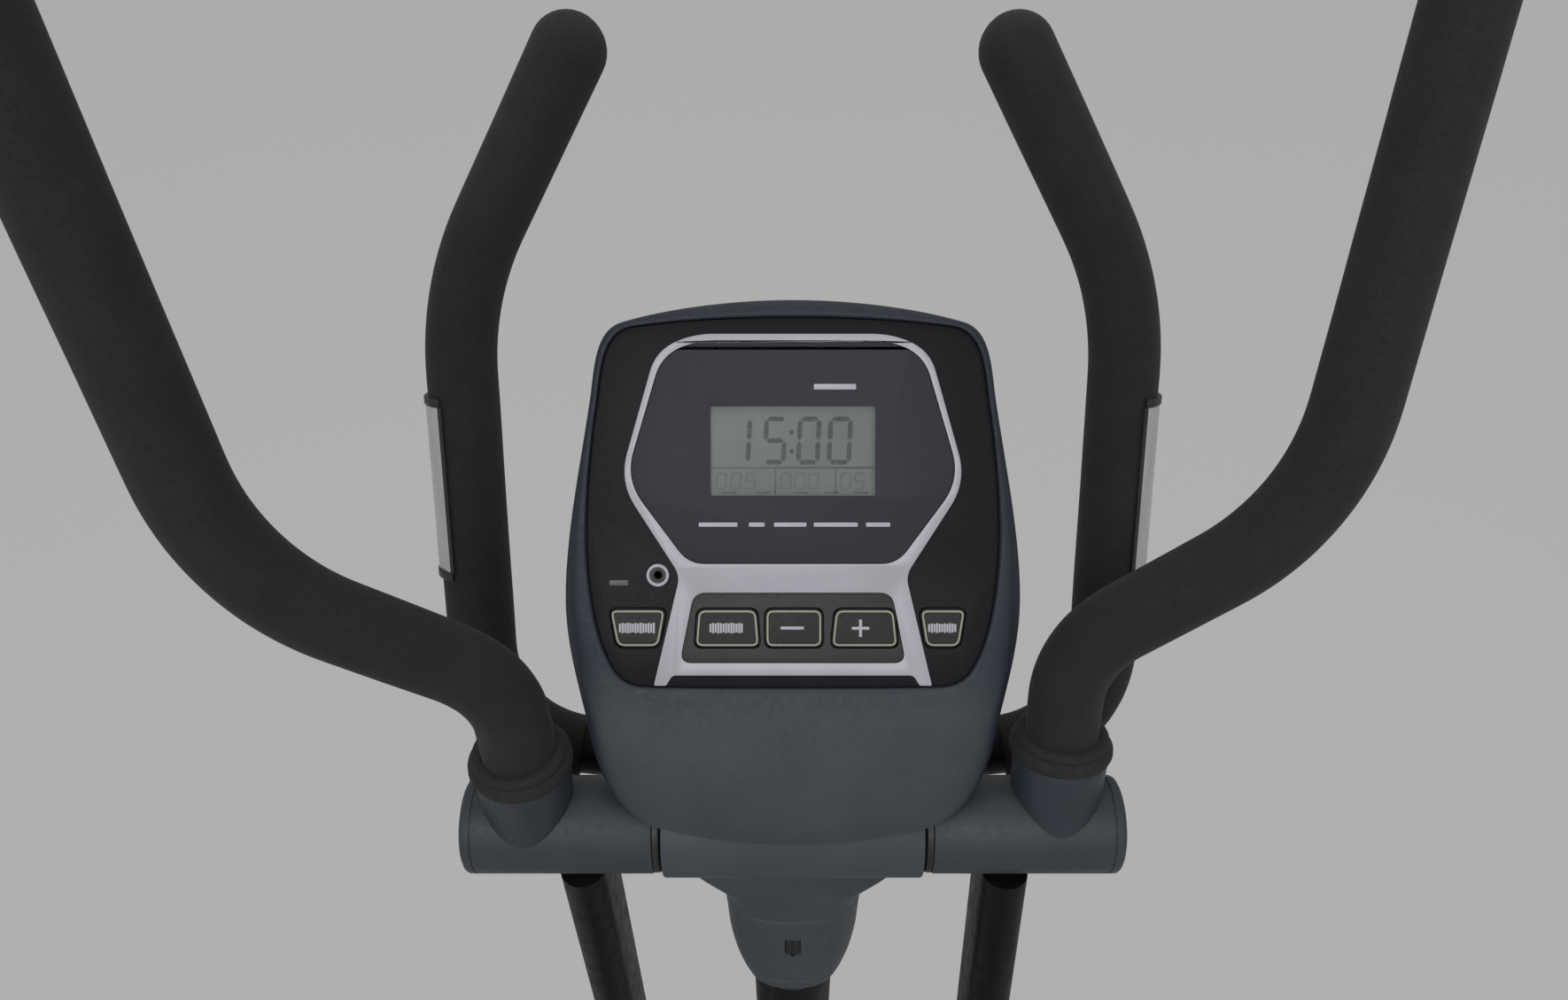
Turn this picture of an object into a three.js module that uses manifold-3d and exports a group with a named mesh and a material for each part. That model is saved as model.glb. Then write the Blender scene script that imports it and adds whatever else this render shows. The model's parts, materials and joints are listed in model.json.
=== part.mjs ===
// Elliptical trainer with rear flywheel, upright console, fixed handlebars and moving handles.
// Units are millimetres. +X is the user's right, +Y points forward to the console, +Z is up.
// Heights are measured from the floor and distances along Y from the pivot of the swing arms,
// and the whole machine is then slid along Y so that the middle of its footprint is the origin.

import * as THREE from 'three';
import { mergeVertices } from 'three/addons/utils/BufferGeometryUtils.js';
import Module from 'manifold-3d';

// ---- Driving dimensions -------------------------------------------------------------------

const PIVOT_HEIGHT = 1170;            // swing-arm axis above the floor
const SWING_LENGTH = 830;             // pivot to lower joint
const CRANK_AXIS_Y = -700;
const CRANK_AXIS_Z = 354;
const CRANK_RADIUS = 150;             // half of the stride
const CRANK_PHASE_DEG = 52;           // left crank pin above the forward horizontal
const PEDAL_ARM_LENGTH = 700;         // lower joint to crank pin
const ARM_X = 109;                    // middle plane of the lower arms and pedal arms

const FLYWHEEL_AXIS_Y = CRANK_AXIS_Y - 150;
const FLYWHEEL_AXIS_Z = CRANK_AXIS_Z - 95;
const FLYWHEEL_RADIUS = 138;
const FLYWHEEL_PULLEY_RADIUS = 22;
const DRIVE_PULLEY_RADIUS = 120;
const BELT_THICKNESS = 3;
const BELT_LEFT_X = 26;
const BELT_RIGHT_X = 38;
const BELT_ARC_STEPS = 14;

const HOUSING_HALF_WIDTH = 58;
const HOUSING_CRANK_RADIUS = 190;
const HOUSING_FLYWHEEL_RADIUS = 162;
const HOUSING_WALL = 3;
const CRANK_DISC_RADIUS = 196;

const FOOT_TUBE_RADIUS = 19;          // cross tubes of both stabilisers
const FOOT_TUBE_Z = 27.5;
const FOOT_TUBE_HALF_LENGTH = 262;
const FOOT_CAP_RADIUS = 26;
const FOOT_CAP_SIDES = 16;
const FOOT_CAP_LEVEL = FOOT_CAP_RADIUS * Math.cos(Math.PI / FOOT_CAP_SIDES);
const FOOT_CAP_INNER_X = 232;
const FOOT_CAP_OUTER_X = 285;
const FRONT_FOOT_Y = 205;
const REAR_FOOT_Y = -940;
const TRANSPORT_WHEEL_RADIUS = 22;
const TRANSPORT_WHEEL_Y = FRONT_FOOT_Y + 42;
const TRANSPORT_WHEEL_Z = 27;

const SPINE_HALF_WIDTH = 35;
const SPINE_BOTTOM = 46.8;
const SPINE_TOP = 86.8;
const CROSS_PLATE_TOP = 92.8;
const LEFT_PLATE_X = [-52, -47];
const RIGHT_PLATE_X = [46, 51];

const MAST_RADIUS = 25;
const MAST_WALL = 2.5;
const MAST_LEAN_DEG = 9;              // the mast leans back towards the user
const MAST_OFFSET_Y = 13.7;           // mast axis ahead of the pivot, at pivot height
const HEAD_TUBE_RADIUS = 17;
const HEAD_TUBE_HALF_LENGTH = 61;
const AXLE_RADIUS = 8;
const AXLE_HALF_LENGTH = 158;

const SLEEVE_RADIUS = 24.5;
const SLEEVE_INNER_X = 70;
const SLEEVE_OUTER_X = 166;
const SOCKET_X = 133;
const SOCKET_HEIGHT = 48;
const HANDLE_TUBE_RADIUS = 14.3;
const GRIP_RADIUS = 18;
const TUBE_SHORTFALL = 14;            // the steel tube ends this far inside the tip of its grip

const CONSOLE_LEAN_DEG = 35;          // the console face leans back from the vertical
const CONSOLE_BASE_Y = -28.4;         // lower middle of the face, from the pivot
const CONSOLE_BASE_Z = 22.7;
const CONSOLE_MIDDLE = 128;           // height of the face's middle, measured up the face
const SHELL_SPLIT_DEPTH = 16;
const SHELL_BACK_DEPTH = 46;
const PANEL_FRONT = 2.5;
const PANEL_BACK = 5.5;
const KEY_TRAVEL = 0.8;
const KEY_MIDDLE = 104.5;             // height of the row of keys, measured up the face
const KEY_HEIGHT = 19;

const GAP = 0.3;                      // space left between neighbouring pieces

const FRONT_REACH = TRANSPORT_WHEEL_Y + TRANSPORT_WHEEL_RADIUS;
const REAR_REACH = FLYWHEEL_AXIS_Y - HOUSING_FLYWHEEL_RADIUS;

// ---- Solids -------------------------------------------------------------------------------

const wasm = await Module();
wasm.setup();

const radians = THREE.MathUtils.degToRad;

// A closed solid of a geometry, with its seams merged and its zero-area triangles dropped.
function solid(geometry, matrix = new THREE.Matrix4()) {
  const bare = new THREE.BufferGeometry();
  bare.setAttribute('position', geometry.getAttribute('position').clone());
  if (geometry.index) bare.setIndex(geometry.index.clone());
  bare.applyMatrix4(matrix);
  const merged = mergeVertices(bare, 1e-3);
  const corners = merged.index.array;
  const kept = [];
  for (let i = 0; i < corners.length; i += 3) {
    const [a, b, c] = [corners[i], corners[i + 1], corners[i + 2]];
    if (a !== b && b !== c && c !== a) kept.push(a, b, c);
  }
  return new wasm.Manifold(new wasm.Mesh({
    numProp: 3,
    vertProperties: Float32Array.from(merged.getAttribute('position').array),
    triVerts: Uint32Array.from(kept),
  }));
}

function joined(first, ...others) {
  return others.reduce((whole, piece) => whole.add(piece), first);
}

function cut(first, ...others) {
  return others.reduce((whole, piece) => whole.subtract(piece), first);
}

function geometryOf(body) {
  const mesh = body.getMesh();
  const geometry = new THREE.BufferGeometry();
  geometry.setAttribute('position', new THREE.BufferAttribute(Float32Array.from(mesh.vertProperties), 3));
  geometry.setIndex(new THREE.BufferAttribute(Uint32Array.from(mesh.triVerts), 1));
  geometry.computeVertexNormals();
  return geometry;
}

function box(x, y, z, matrix) {
  const geometry = new THREE.BoxGeometry(x[1] - x[0], y[1] - y[0], z[1] - z[0]);
  geometry.translate((x[0] + x[1]) / 2, (y[0] + y[1]) / 2, (z[0] + z[1]) / 2);
  return solid(geometry, matrix);
}

// A round bar along X from x[0] to x[1]; turn is how far it is rolled about its own axis.
function barX(x, radius, y = 0, z = 0, sides = 16, turn = 0) {
  const geometry = new THREE.CylinderGeometry(radius, radius, x[1] - x[0], sides);
  geometry.rotateZ(Math.PI / 2);
  geometry.rotateX(turn);
  geometry.translate((x[0] + x[1]) / 2, y, z);
  return solid(geometry);
}

// A round bar along Z between two heights.
function barZ(z, radius, matrix = undefined, topRadius = radius, sides = 16) {
  const geometry = new THREE.CylinderGeometry(topRadius, radius, z[1] - z[0], sides);
  geometry.rotateX(Math.PI / 2);
  geometry.translate(0, 0, (z[0] + z[1]) / 2);
  return solid(geometry, matrix);
}

// An outline drawn in Y and Z, as thick as x[1] - x[0].
function plateX(shape, x, curveSegments = 12) {
  const depth = x[1] - x[0];
  const geometry = new THREE.ExtrudeGeometry(shape, { depth, bevelEnabled: false, curveSegments });
  const axes = new THREE.Matrix4().makeBasis(
    new THREE.Vector3(0, 1, 0), new THREE.Vector3(0, 0, 1), new THREE.Vector3(1, 0, 0));
  geometry.applyMatrix4(axes);
  geometry.translate(x[0], 0, 0);
  return solid(geometry);
}

// An outline drawn in X and Z, from one depth along Y to another.
function plateY(shape, y, curveSegments = 3) {
  const depth = y[1] - y[0];
  const geometry = new THREE.ExtrudeGeometry(shape, { depth, bevelEnabled: false, curveSegments });
  geometry.rotateX(Math.PI / 2);
  geometry.translate(0, y[1], 0);
  return solid(geometry);
}

function pathOf(points) {
  const shape = new THREE.Shape();
  points.forEach(([a, b], i) => (i ? shape.lineTo(a, b) : shape.moveTo(a, b)));
  shape.closePath();
  return shape;
}

// A polygon with every corner rounded by the same radius, or by its own third number.
function roundedShape(corners, radius) {
  const shape = new THREE.Shape();
  const count = corners.length;
  corners.forEach(([x, y, own], i) => {
    const here = new THREE.Vector2(x, y);
    const before = new THREE.Vector2(...corners[(i + count - 1) % count].slice(0, 2)).sub(here);
    const after = new THREE.Vector2(...corners[(i + 1) % count].slice(0, 2)).sub(here);
    const size = own ?? radius;
    const start = before.clone().setLength(size).add(here);
    const end = after.clone().setLength(size).add(here);
    if (i) shape.lineTo(start.x, start.y);
    else shape.moveTo(start.x, start.y);
    shape.quadraticCurveTo(x, y, end.x, end.y);
  });
  shape.closePath();
  return shape;
}

function rectangle(x, z, radius) {
  return roundedShape([[x[0], z[0]], [x[1], z[0]], [x[1], z[1]], [x[0], z[1]]], radius);
}

// The straight-sided outline that wraps two circles, in Y and Z.
function wrapShape(y1, z1, r1, y2, z2, r2) {
  const along = Math.atan2(z2 - z1, y2 - y1);
  const spread = Math.acos((r1 - r2) / Math.hypot(y2 - y1, z2 - z1));
  const shape = new THREE.Shape();
  shape.absarc(y1, z1, r1, along + spread, along - spread + 2 * Math.PI, false);
  shape.absarc(y2, z2, r2, along - spread, along + spread, false);
  shape.closePath();
  return shape;
}

// The centre line of a bent tube: straight runs joined by arcs of the given bend radii.
function bentLine(corners, bendRadii, arcSteps = 3) {
  const line = [corners[0].clone()];
  for (let i = 1; i < corners.length - 1; i += 1) {
    const back = corners[i - 1].clone().sub(corners[i]).normalize();
    const ahead = corners[i + 1].clone().sub(corners[i]).normalize();
    const half = (Math.PI - back.angleTo(ahead)) / 2;
    const reach = bendRadii[i - 1] * Math.tan(half);
    const middle = back.clone().add(ahead).normalize();
    const centre = corners[i].clone().addScaledVector(middle, bendRadii[i - 1] / Math.cos(half));
    const start = corners[i].clone().addScaledVector(back, reach).sub(centre);
    const axis = start.clone().cross(corners[i].clone().addScaledVector(ahead, reach).sub(centre)).normalize();
    for (let k = 0; k <= arcSteps; k += 1) {
      line.push(start.clone().applyAxisAngle(axis, (2 * half * k) / arcSteps).add(centre));
    }
  }
  line.push(corners[corners.length - 1].clone());
  return line;
}

// The part of a line between two distances from its start.
function stretch(line, from, to) {
  const kept = [];
  let walked = 0;
  for (let i = 1; i < line.length; i += 1) {
    const step = line[i].distanceTo(line[i - 1]);
    const at = (distance) => line[i - 1].clone().lerp(line[i], (distance - walked) / step);
    if (from >= walked && from < walked + step) kept.push(at(from));
    if (walked + step > from + 1 && walked + step < to - 1) kept.push(line[i].clone());
    if (to > walked && to <= walked + step) kept.push(at(to));
    walked += step;
  }
  return kept;
}

function lengthOf(line) {
  return line.slice(1).reduce((sum, point, i) => sum + point.distanceTo(line[i]), 0);
}

// A solid of round section along a line; radiusAt gives the radius at each point of the line.
function sweep(line, radiusAt, sides = 10) {
  const positions = [];
  const faces = [];
  const hint = new THREE.Vector3(0, 1, 0);
  line.forEach((point, i) => {
    const before = line[Math.max(i - 1, 0)];
    const after = line[Math.min(i + 1, line.length - 1)];
    const ahead = after.clone().sub(before).normalize();
    const side = hint.clone().addScaledVector(ahead, -hint.dot(ahead)).normalize();
    const up = ahead.clone().cross(side);
    const radius = radiusAt(i, line.length - 1);
    for (let k = 0; k < sides; k += 1) {
      const turn = (2 * Math.PI * k) / sides;
      const corner = point.clone()
        .addScaledVector(side, radius * Math.cos(turn))
        .addScaledVector(up, radius * Math.sin(turn));
      positions.push(corner.x, corner.y, corner.z);
    }
  });
  for (let i = 0; i < line.length - 1; i += 1) {
    for (let k = 0; k < sides; k += 1) {
      const next = (k + 1) % sides;
      const [a, b] = [i * sides + k, i * sides + next];
      faces.push(a, b, b + sides, a, b + sides, a + sides);
    }
  }
  const last = (line.length - 1) * sides;
  for (let k = 1; k < sides - 1; k += 1) {
    faces.push(0, k + 1, k);
    faces.push(last, last + k, last + k + 1);
  }
  const geometry = new THREE.BufferGeometry();
  geometry.setAttribute('position', new THREE.Float32BufferAttribute(positions, 3));
  geometry.setIndex(faces);
  return solid(geometry);
}

function tube(line, outer, inner, sides = 8) {
  const first = line[0].clone().lerp(line[1], -0.05);
  const last = line[line.length - 1].clone().lerp(line[line.length - 2], -0.05);
  const bore = [first, ...line.slice(1, -1), last];
  return cut(sweep(line, () => outer, sides), sweep(bore, () => inner, sides));
}

// A body through level rounded-box sections: each is [height, half width, half depth].
function tower(levels, sides = 16, squareness = 0.75) {
  const positions = [];
  const faces = [];
  levels.forEach(([height, halfWidth, halfDepth]) => {
    for (let k = 0; k < sides; k += 1) {
      const turn = (2 * Math.PI * k) / sides;
      const x = Math.sign(Math.cos(turn)) * Math.abs(Math.cos(turn)) ** squareness;
      const y = Math.sign(Math.sin(turn)) * Math.abs(Math.sin(turn)) ** squareness;
      positions.push(halfWidth * x, halfDepth * y, height);
    }
  });
  for (let i = 0; i < levels.length - 1; i += 1) {
    for (let k = 0; k < sides; k += 1) {
      const next = (k + 1) % sides;
      const [a, b] = [i * sides + k, i * sides + next];
      faces.push(a, b, b + sides, a, b + sides, a + sides);
    }
  }
  const last = (levels.length - 1) * sides;
  for (let k = 1; k < sides - 1; k += 1) {
    faces.push(0, k + 1, k);
    faces.push(last, last + k, last + k + 1);
  }
  const geometry = new THREE.BufferGeometry();
  geometry.setAttribute('position', new THREE.Float32BufferAttribute(positions, 3));
  geometry.setIndex(faces);
  return geometry;
}

function mirrored(body) {
  const geometry = geometryOf(body);
  geometry.scale(-1, 1, 1);
  const corners = geometry.index.array;
  for (let i = 0; i < corners.length; i += 3) {
    [corners[i + 1], corners[i + 2]] = [corners[i + 2], corners[i + 1]];
  }
  return solid(geometry);
}

// ---- Materials ----------------------------------------------------------------------------

function finish(color, roughness, metalness = 0) {
  return new THREE.MeshStandardMaterial({ color, roughness, metalness });
}

const SLATE_PLASTIC = finish(0x454a4e, 0.5);
const BLACK_PLASTIC = finish(0x1d1e20, 0.45);
const BLACK_PAINT = finish(0x202123, 0.4, 0.3);
const FOAM = finish(0x29292b, 0.9);
const RUBBER = finish(0x18181a, 0.85);
const STEEL = finish(0x9a9ca0, 0.3, 1);
const SILVER_TRIM = finish(0xa9a8b1, 0.35, 0.4);
const LENS = finish(0x3d3c42, 0.15);
const DISPLAY = finish(0x7a807e, 0.3);
const CIRCUIT_GREEN = finish(0x24523a, 0.6);
const CAST_IRON = finish(0x4a4b4d, 0.6, 0.8);

// ---- Scene graph --------------------------------------------------------------------------

const trainer = new THREE.Group();
trainer.position.y = -(FRONT_REACH + REAR_REACH) / 2;

const atPivot = new THREE.Group();
atPivot.position.z = PIVOT_HEIGHT;
trainer.add(atPivot);

function add(name, body, material, parent = trainer) {
  const mesh = new THREE.Mesh(geometryOf(body), material);
  mesh.name = name;
  parent.add(mesh);
  return mesh;
}

const SIDES = [['left', -1], ['right', 1]];

// A piece made for the right-hand side, mirrored for the left.
function forSide(side, body) {
  return side > 0 ? body : mirrored(body);
}

// The mast's own frame has its Z axis up the mast and its origin level with the pivot.
const mastMatrix = new THREE.Matrix4()
  .makeRotationX(radians(MAST_LEAN_DEG))
  .setPosition(0, MAST_OFFSET_Y, 0);
const pivotMatrix = mastMatrix.clone().invert();

// The console's own frame: X across, Z up the face, Y into the console.
const consoleMatrix = new THREE.Matrix4()
  .makeRotationX(-radians(CONSOLE_LEAN_DEG))
  .setPosition(0, CONSOLE_BASE_Y, CONSOLE_BASE_Z);

// ---- Main frame and stabilisers -----------------------------------------------------------

const BRAKE_PIVOT_Y = FLYWHEEL_AXIS_Y + 150 * Math.cos(radians(-55));
const BRAKE_PIVOT_Z = FLYWHEEL_AXIS_Z + 150 * Math.sin(radians(-55));

function buildMainFrame() {
  const spineEnds = [REAR_FOOT_Y - 22, FRONT_FOOT_Y + 18];
  const spine = box([-SPINE_HALF_WIDTH, SPINE_HALF_WIDTH], spineEnds, [SPINE_BOTTOM, SPINE_TOP]);
  const bore = box([-32.5, 32.5], [spineEnds[0] - 1, spineEnds[1] + 1], [SPINE_BOTTOM + 2.5, SPINE_TOP - 2.5]);
  const plateEnds = [FLYWHEEL_AXIS_Y - 60, CRANK_AXIS_Y + 80];
  const crossPlate = box([LEFT_PLATE_X[0], RIGHT_PLATE_X[1]], plateEnds, [SPINE_TOP - 0.5, CROSS_PLATE_TOP]);
  const upright = roundedShape([
    [plateEnds[0], CROSS_PLATE_TOP - 1, 4],
    [plateEnds[1], CROSS_PLATE_TOP - 1, 4],
    [CRANK_AXIS_Y + 36, CRANK_AXIS_Z + 34, 20],
    [CRANK_AXIS_Y - 36, CRANK_AXIS_Z + 34, 20],
    [FLYWHEEL_AXIS_Y - 34, FLYWHEEL_AXIS_Z + 34, 20],
  ]);
  const crankBore = barX([-60, 60], 10.8, CRANK_AXIS_Y, CRANK_AXIS_Z);
  const flywheelBore = barX([-60, 60], 8.6, FLYWHEEL_AXIS_Y, FLYWHEEL_AXIS_Z);
  const brakePin = barX([LEFT_PLATE_X[1] - 1, -4], 4, BRAKE_PIVOT_Y, BRAKE_PIVOT_Z, 12);
  const stub = barZ([0, 120], MAST_RADIUS - MAST_WALL - 0.7, footMatrix(-4));
  const frame = cut(spine, bore);
  return cut(
    joined(frame, crossPlate, plateX(upright, LEFT_PLATE_X, 4), plateX(upright, RIGHT_PLATE_X, 4), brakePin, stub),
    crankBore, flywheelBore);
}

// A frame on the mast's axis with its origin at a height above the spine's top.
function footMatrix(height) {
  const drop = PIVOT_HEIGHT - SPINE_TOP - height;
  return new THREE.Matrix4()
    .makeRotationX(radians(MAST_LEAN_DEG))
    .setPosition(0, MAST_OFFSET_Y + drop * Math.tan(radians(MAST_LEAN_DEG)), SPINE_TOP + height);
}

add('main_frame', buildMainFrame(), BLACK_PAINT);

function buildFootTube(y) {
  const ends = [-FOOT_TUBE_HALF_LENGTH, FOOT_TUBE_HALF_LENGTH];
  const outside = barX(ends, FOOT_TUBE_RADIUS, y, FOOT_TUBE_Z);
  return cut(outside, barX([ends[0] - 1, ends[1] + 1], FOOT_TUBE_RADIUS - 2, y, FOOT_TUBE_Z));
}

add('front_stabilizer', buildFootTube(FRONT_FOOT_Y), BLACK_PAINT);
add('rear_stabilizer', buildFootTube(REAR_FOOT_Y), BLACK_PAINT);

// A foot cap is many-sided and stands on one of its flats; it holds the tube off centre, so that
// turning it on the tube lifts or lowers that corner of the machine.
function buildFootCap(y) {
  const outside = barX([FOOT_CAP_INNER_X, FOOT_CAP_OUTER_X], FOOT_CAP_RADIUS,
    y, FOOT_CAP_LEVEL, FOOT_CAP_SIDES, Math.PI / FOOT_CAP_SIDES);
  const socketEnds = [FOOT_CAP_INNER_X - 1, FOOT_TUBE_HALF_LENGTH + GAP];
  return cut(outside, barX(socketEnds, FOOT_TUBE_RADIUS + 0.8, y, FOOT_TUBE_Z));
}

const WHEEL_MIDDLE_X = 256;
const WHEEL_HALF_WIDTH = 8;

function buildFrontCap() {
  const lug = (x) => plateX(roundedShape([
    [FRONT_FOOT_Y + 20.8, 12, 2],
    [TRANSPORT_WHEEL_Y + 9, TRANSPORT_WHEEL_Z - 9, 7],
    [TRANSPORT_WHEEL_Y + 9, TRANSPORT_WHEEL_Z + 9, 7],
    [FRONT_FOOT_Y + 20.8, 40, 2],
  ]), [x, x + 5], 2);
  const pin = barX([WHEEL_MIDDLE_X - 12, WHEEL_MIDDLE_X + 12], 4, TRANSPORT_WHEEL_Y, TRANSPORT_WHEEL_Z, 12);
  const wheelRoom = barX(
    [WHEEL_MIDDLE_X - WHEEL_HALF_WIDTH - 1, WHEEL_MIDDLE_X + WHEEL_HALF_WIDTH + 1],
    TRANSPORT_WHEEL_RADIUS + 1.5, TRANSPORT_WHEEL_Y, TRANSPORT_WHEEL_Z);
  const cap = cut(buildFootCap(FRONT_FOOT_Y), wheelRoom);
  return joined(cap, lug(WHEEL_MIDDLE_X - 14.5), lug(WHEEL_MIDDLE_X + 9.5), pin);
}

function buildTransportWheel() {
  const half = WHEEL_HALF_WIDTH;
  const profile = [[4.7, -half], [19, -half], [22, -half + 3], [22, half - 3], [19, half], [4.7, half]];
  const points = [...profile, profile[0]].map(([radius, x]) => new THREE.Vector2(radius, x));
  const geometry = new THREE.LatheGeometry(points, 18);
  geometry.rotateZ(-Math.PI / 2);
  geometry.translate(WHEEL_MIDDLE_X, TRANSPORT_WHEEL_Y, TRANSPORT_WHEEL_Z);
  return solid(geometry);
}

for (const [word, side] of SIDES) {
  add(`front_cap_${word}`, forSide(side, buildFrontCap()), BLACK_PLASTIC);
  add(`rear_cap_${word}`, forSide(side, buildFootCap(REAR_FOOT_Y)), BLACK_PLASTIC);
  add(`transport_wheel_${word}`, forSide(side, buildTransportWheel()), RUBBER);
}

// ---- Mast, pivot axle and neck cover ------------------------------------------------------

const BRACKET_HALF_WIDTH = 28;
const BRACKET_DEPTH = [SHELL_BACK_DEPTH + GAP, SHELL_BACK_DEPTH + 5];

function buildMast() {
  const foot = (PIVOT_HEIGHT - SPINE_TOP - 5) / Math.cos(radians(MAST_LEAN_DEG));
  const post = barZ([-foot, 4], MAST_RADIUS, mastMatrix);
  const bore = barZ([-foot - 1, -34], MAST_RADIUS - MAST_WALL, mastMatrix);
  const head = barX([-HEAD_TUBE_HALF_LENGTH, HEAD_TUBE_HALF_LENGTH], HEAD_TUBE_RADIUS);
  const bracket = box([-BRACKET_HALF_WIDTH, BRACKET_HALF_WIDTH], BRACKET_DEPTH, [2, 100], consoleMatrix);
  const axleBore = barX([-HEAD_TUBE_HALF_LENGTH - 1, HEAD_TUBE_HALF_LENGTH + 1], AXLE_RADIUS + GAP);
  return cut(joined(cut(post, bore), head, bracket), axleBore);
}

add('mast', buildMast(), BLACK_PAINT, atPivot);
add('pivot_axle', barX([-AXLE_HALF_LENGTH, AXLE_HALF_LENGTH], AXLE_RADIUS), STEEL, atPivot);

const COVER_RADIUS = 26.5;
const COVER_HALF_LENGTH = 65.5;
const NECK_LEVELS = [          // height, half width, half depth, all in the mast's frame
  [-186, 27.5, 27.5],
  [-160, 31.5, 29],
  [-125, 34.5, 30],
  [-90, 36, 30.5],
  [-58, 38.5, 31],
  [-48, 44, 31],
  [-32, 52, 30],
  [-16, 58, 28],
  [10, 58, 27],
];

function coverBody(shrink) {
  const levels = NECK_LEVELS.map(([height, halfWidth, halfDepth], i) => {
    const lift = i === 0 ? -shrink : 0;
    const drop = i === NECK_LEVELS.length - 1 ? -shrink : 0;
    const least = shrink ? MAST_RADIUS + GAP : 0;
    return [height + lift + drop, Math.max(halfWidth - shrink, least), Math.max(halfDepth - shrink, least)];
  });
  const neck = solid(tower(levels));
  const half = COVER_HALF_LENGTH - shrink;
  const cross = new THREE.CylinderGeometry(COVER_RADIUS - shrink, COVER_RADIUS - shrink, 2 * half, 20);
  cross.rotateZ(Math.PI / 2);
  return joined(neck, solid(cross, pivotMatrix));
}

function buildNeckCover(front) {
  const mastRoom = barZ([-200, 6], MAST_RADIUS + GAP);
  const axleRoom = new THREE.CylinderGeometry(AXLE_RADIUS + 1.5, AXLE_RADIUS + 1.5, 140, 12);
  axleRoom.rotateZ(Math.PI / 2);
  const shell = cut(coverBody(0), coverBody(3), mastRoom, solid(axleRoom, pivotMatrix));
  const consoleInMast = pivotMatrix.clone().multiply(consoleMatrix);
  const bracketRoom = box(
    [-BRACKET_HALF_WIDTH - 0.6, BRACKET_HALF_WIDTH + 0.6],
    [BRACKET_DEPTH[0] - 0.6, BRACKET_DEPTH[1] + 0.6], [0, 60], consoleInMast);
  const roomHeights = [HANDLEBAR_CENTRE.z - 18, HANDLEBAR_CENTRE.z + 18];
  const handlebarRoom = joined(
    box([-80, 80], [41, 80], roomHeights, pivotMatrix),
    box([-SADDLE_HALF_WIDTH - 1, SADDLE_HALF_WIDTH + 1], [30, 80], roomHeights, pivotMatrix));
  const half = front ? [-60, -GAP / 2] : [GAP / 2, 80];
  return cut(shell, bracketRoom, handlebarRoom).intersect(box([-90, 90], half, [-200, 60]));
}

// ---- Fixed handlebar ----------------------------------------------------------------------

const HANDLEBAR_CENTRE = new THREE.Vector3(0, 58.5, -24);
const HANDLEBAR_LOW_CORNER = new THREE.Vector3(170, 64, -10);
const HANDLEBAR_HIGH_CORNER = new THREE.Vector3(170, 158, 220);
const HANDLEBAR_END = new THREE.Vector3(93, 187, 351);
const HANDLEBAR_BENDS = [62, 150];
const SADDLE_HALF_WIDTH = 22;
const FIXED_GRIP_START = 118;         // distance from the middle of the bar to the foam

function handlebarHalf() {
  return bentLine(
    [HANDLEBAR_CENTRE, HANDLEBAR_LOW_CORNER, HANDLEBAR_HIGH_CORNER, HANDLEBAR_END], HANDLEBAR_BENDS);
}

function buildFixedHandlebar() {
  const half = handlebarHalf();
  const right = stretch(half, 0, lengthOf(half) - TUBE_SHORTFALL);
  const left = right.slice(1).map((point) => new THREE.Vector3(-point.x, point.y, point.z)).reverse();
  const bar = tube([...left, ...right], HANDLE_TUBE_RADIUS, HANDLE_TUBE_RADIUS - 2);
  const saddle = box([-SADDLE_HALF_WIDTH, SADDLE_HALF_WIDTH], [34, 48], [HANDLEBAR_CENTRE.z - 15, HANDLEBAR_CENTRE.z + 15]);
  const mastRoom = barZ([-100, 60], MAST_RADIUS + GAP, mastMatrix);
  const core = barX([-SADDLE_HALF_WIDTH - 1, SADDLE_HALF_WIDTH + 1], HANDLE_TUBE_RADIUS - 3, HANDLEBAR_CENTRE.y, HANDLEBAR_CENTRE.z, 8);
  return joined(bar, cut(saddle, mastRoom, core));
}

// A foam grip: a sleeve over its tube with a closed, domed end.
function buildGrip(line, startAt, domeSteps = 3) {
  const total = lengthOf(line);
  const shaft = stretch(line, startAt, total - GRIP_RADIUS);
  const tip = line[line.length - 1].clone().sub(line[line.length - 2]).normalize();
  const domeBase = shaft[shaft.length - 1];
  const dome = [];
  for (let k = 1; k <= domeSteps; k += 1) {
    const turn = (k / domeSteps) * radians(80);
    dome.push(domeBase.clone().addScaledVector(tip, GRIP_RADIUS * Math.sin(turn)));
  }
  const outerLine = [...shaft, ...dome];
  const outer = sweep(outerLine, (i, last) => {
    const stepsIn = i - (last - domeSteps);
    return stepsIn > 0 ? GRIP_RADIUS * Math.cos((stepsIn / domeSteps) * radians(80)) : GRIP_RADIUS;
  });
  const boreLine = stretch(line, startAt, total - TUBE_SHORTFALL + 1.5);
  boreLine[0] = boreLine[0].clone().lerp(boreLine[1], -0.05);
  return cut(outer, sweep(boreLine, () => HANDLE_TUBE_RADIUS + 1.2));
}

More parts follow.
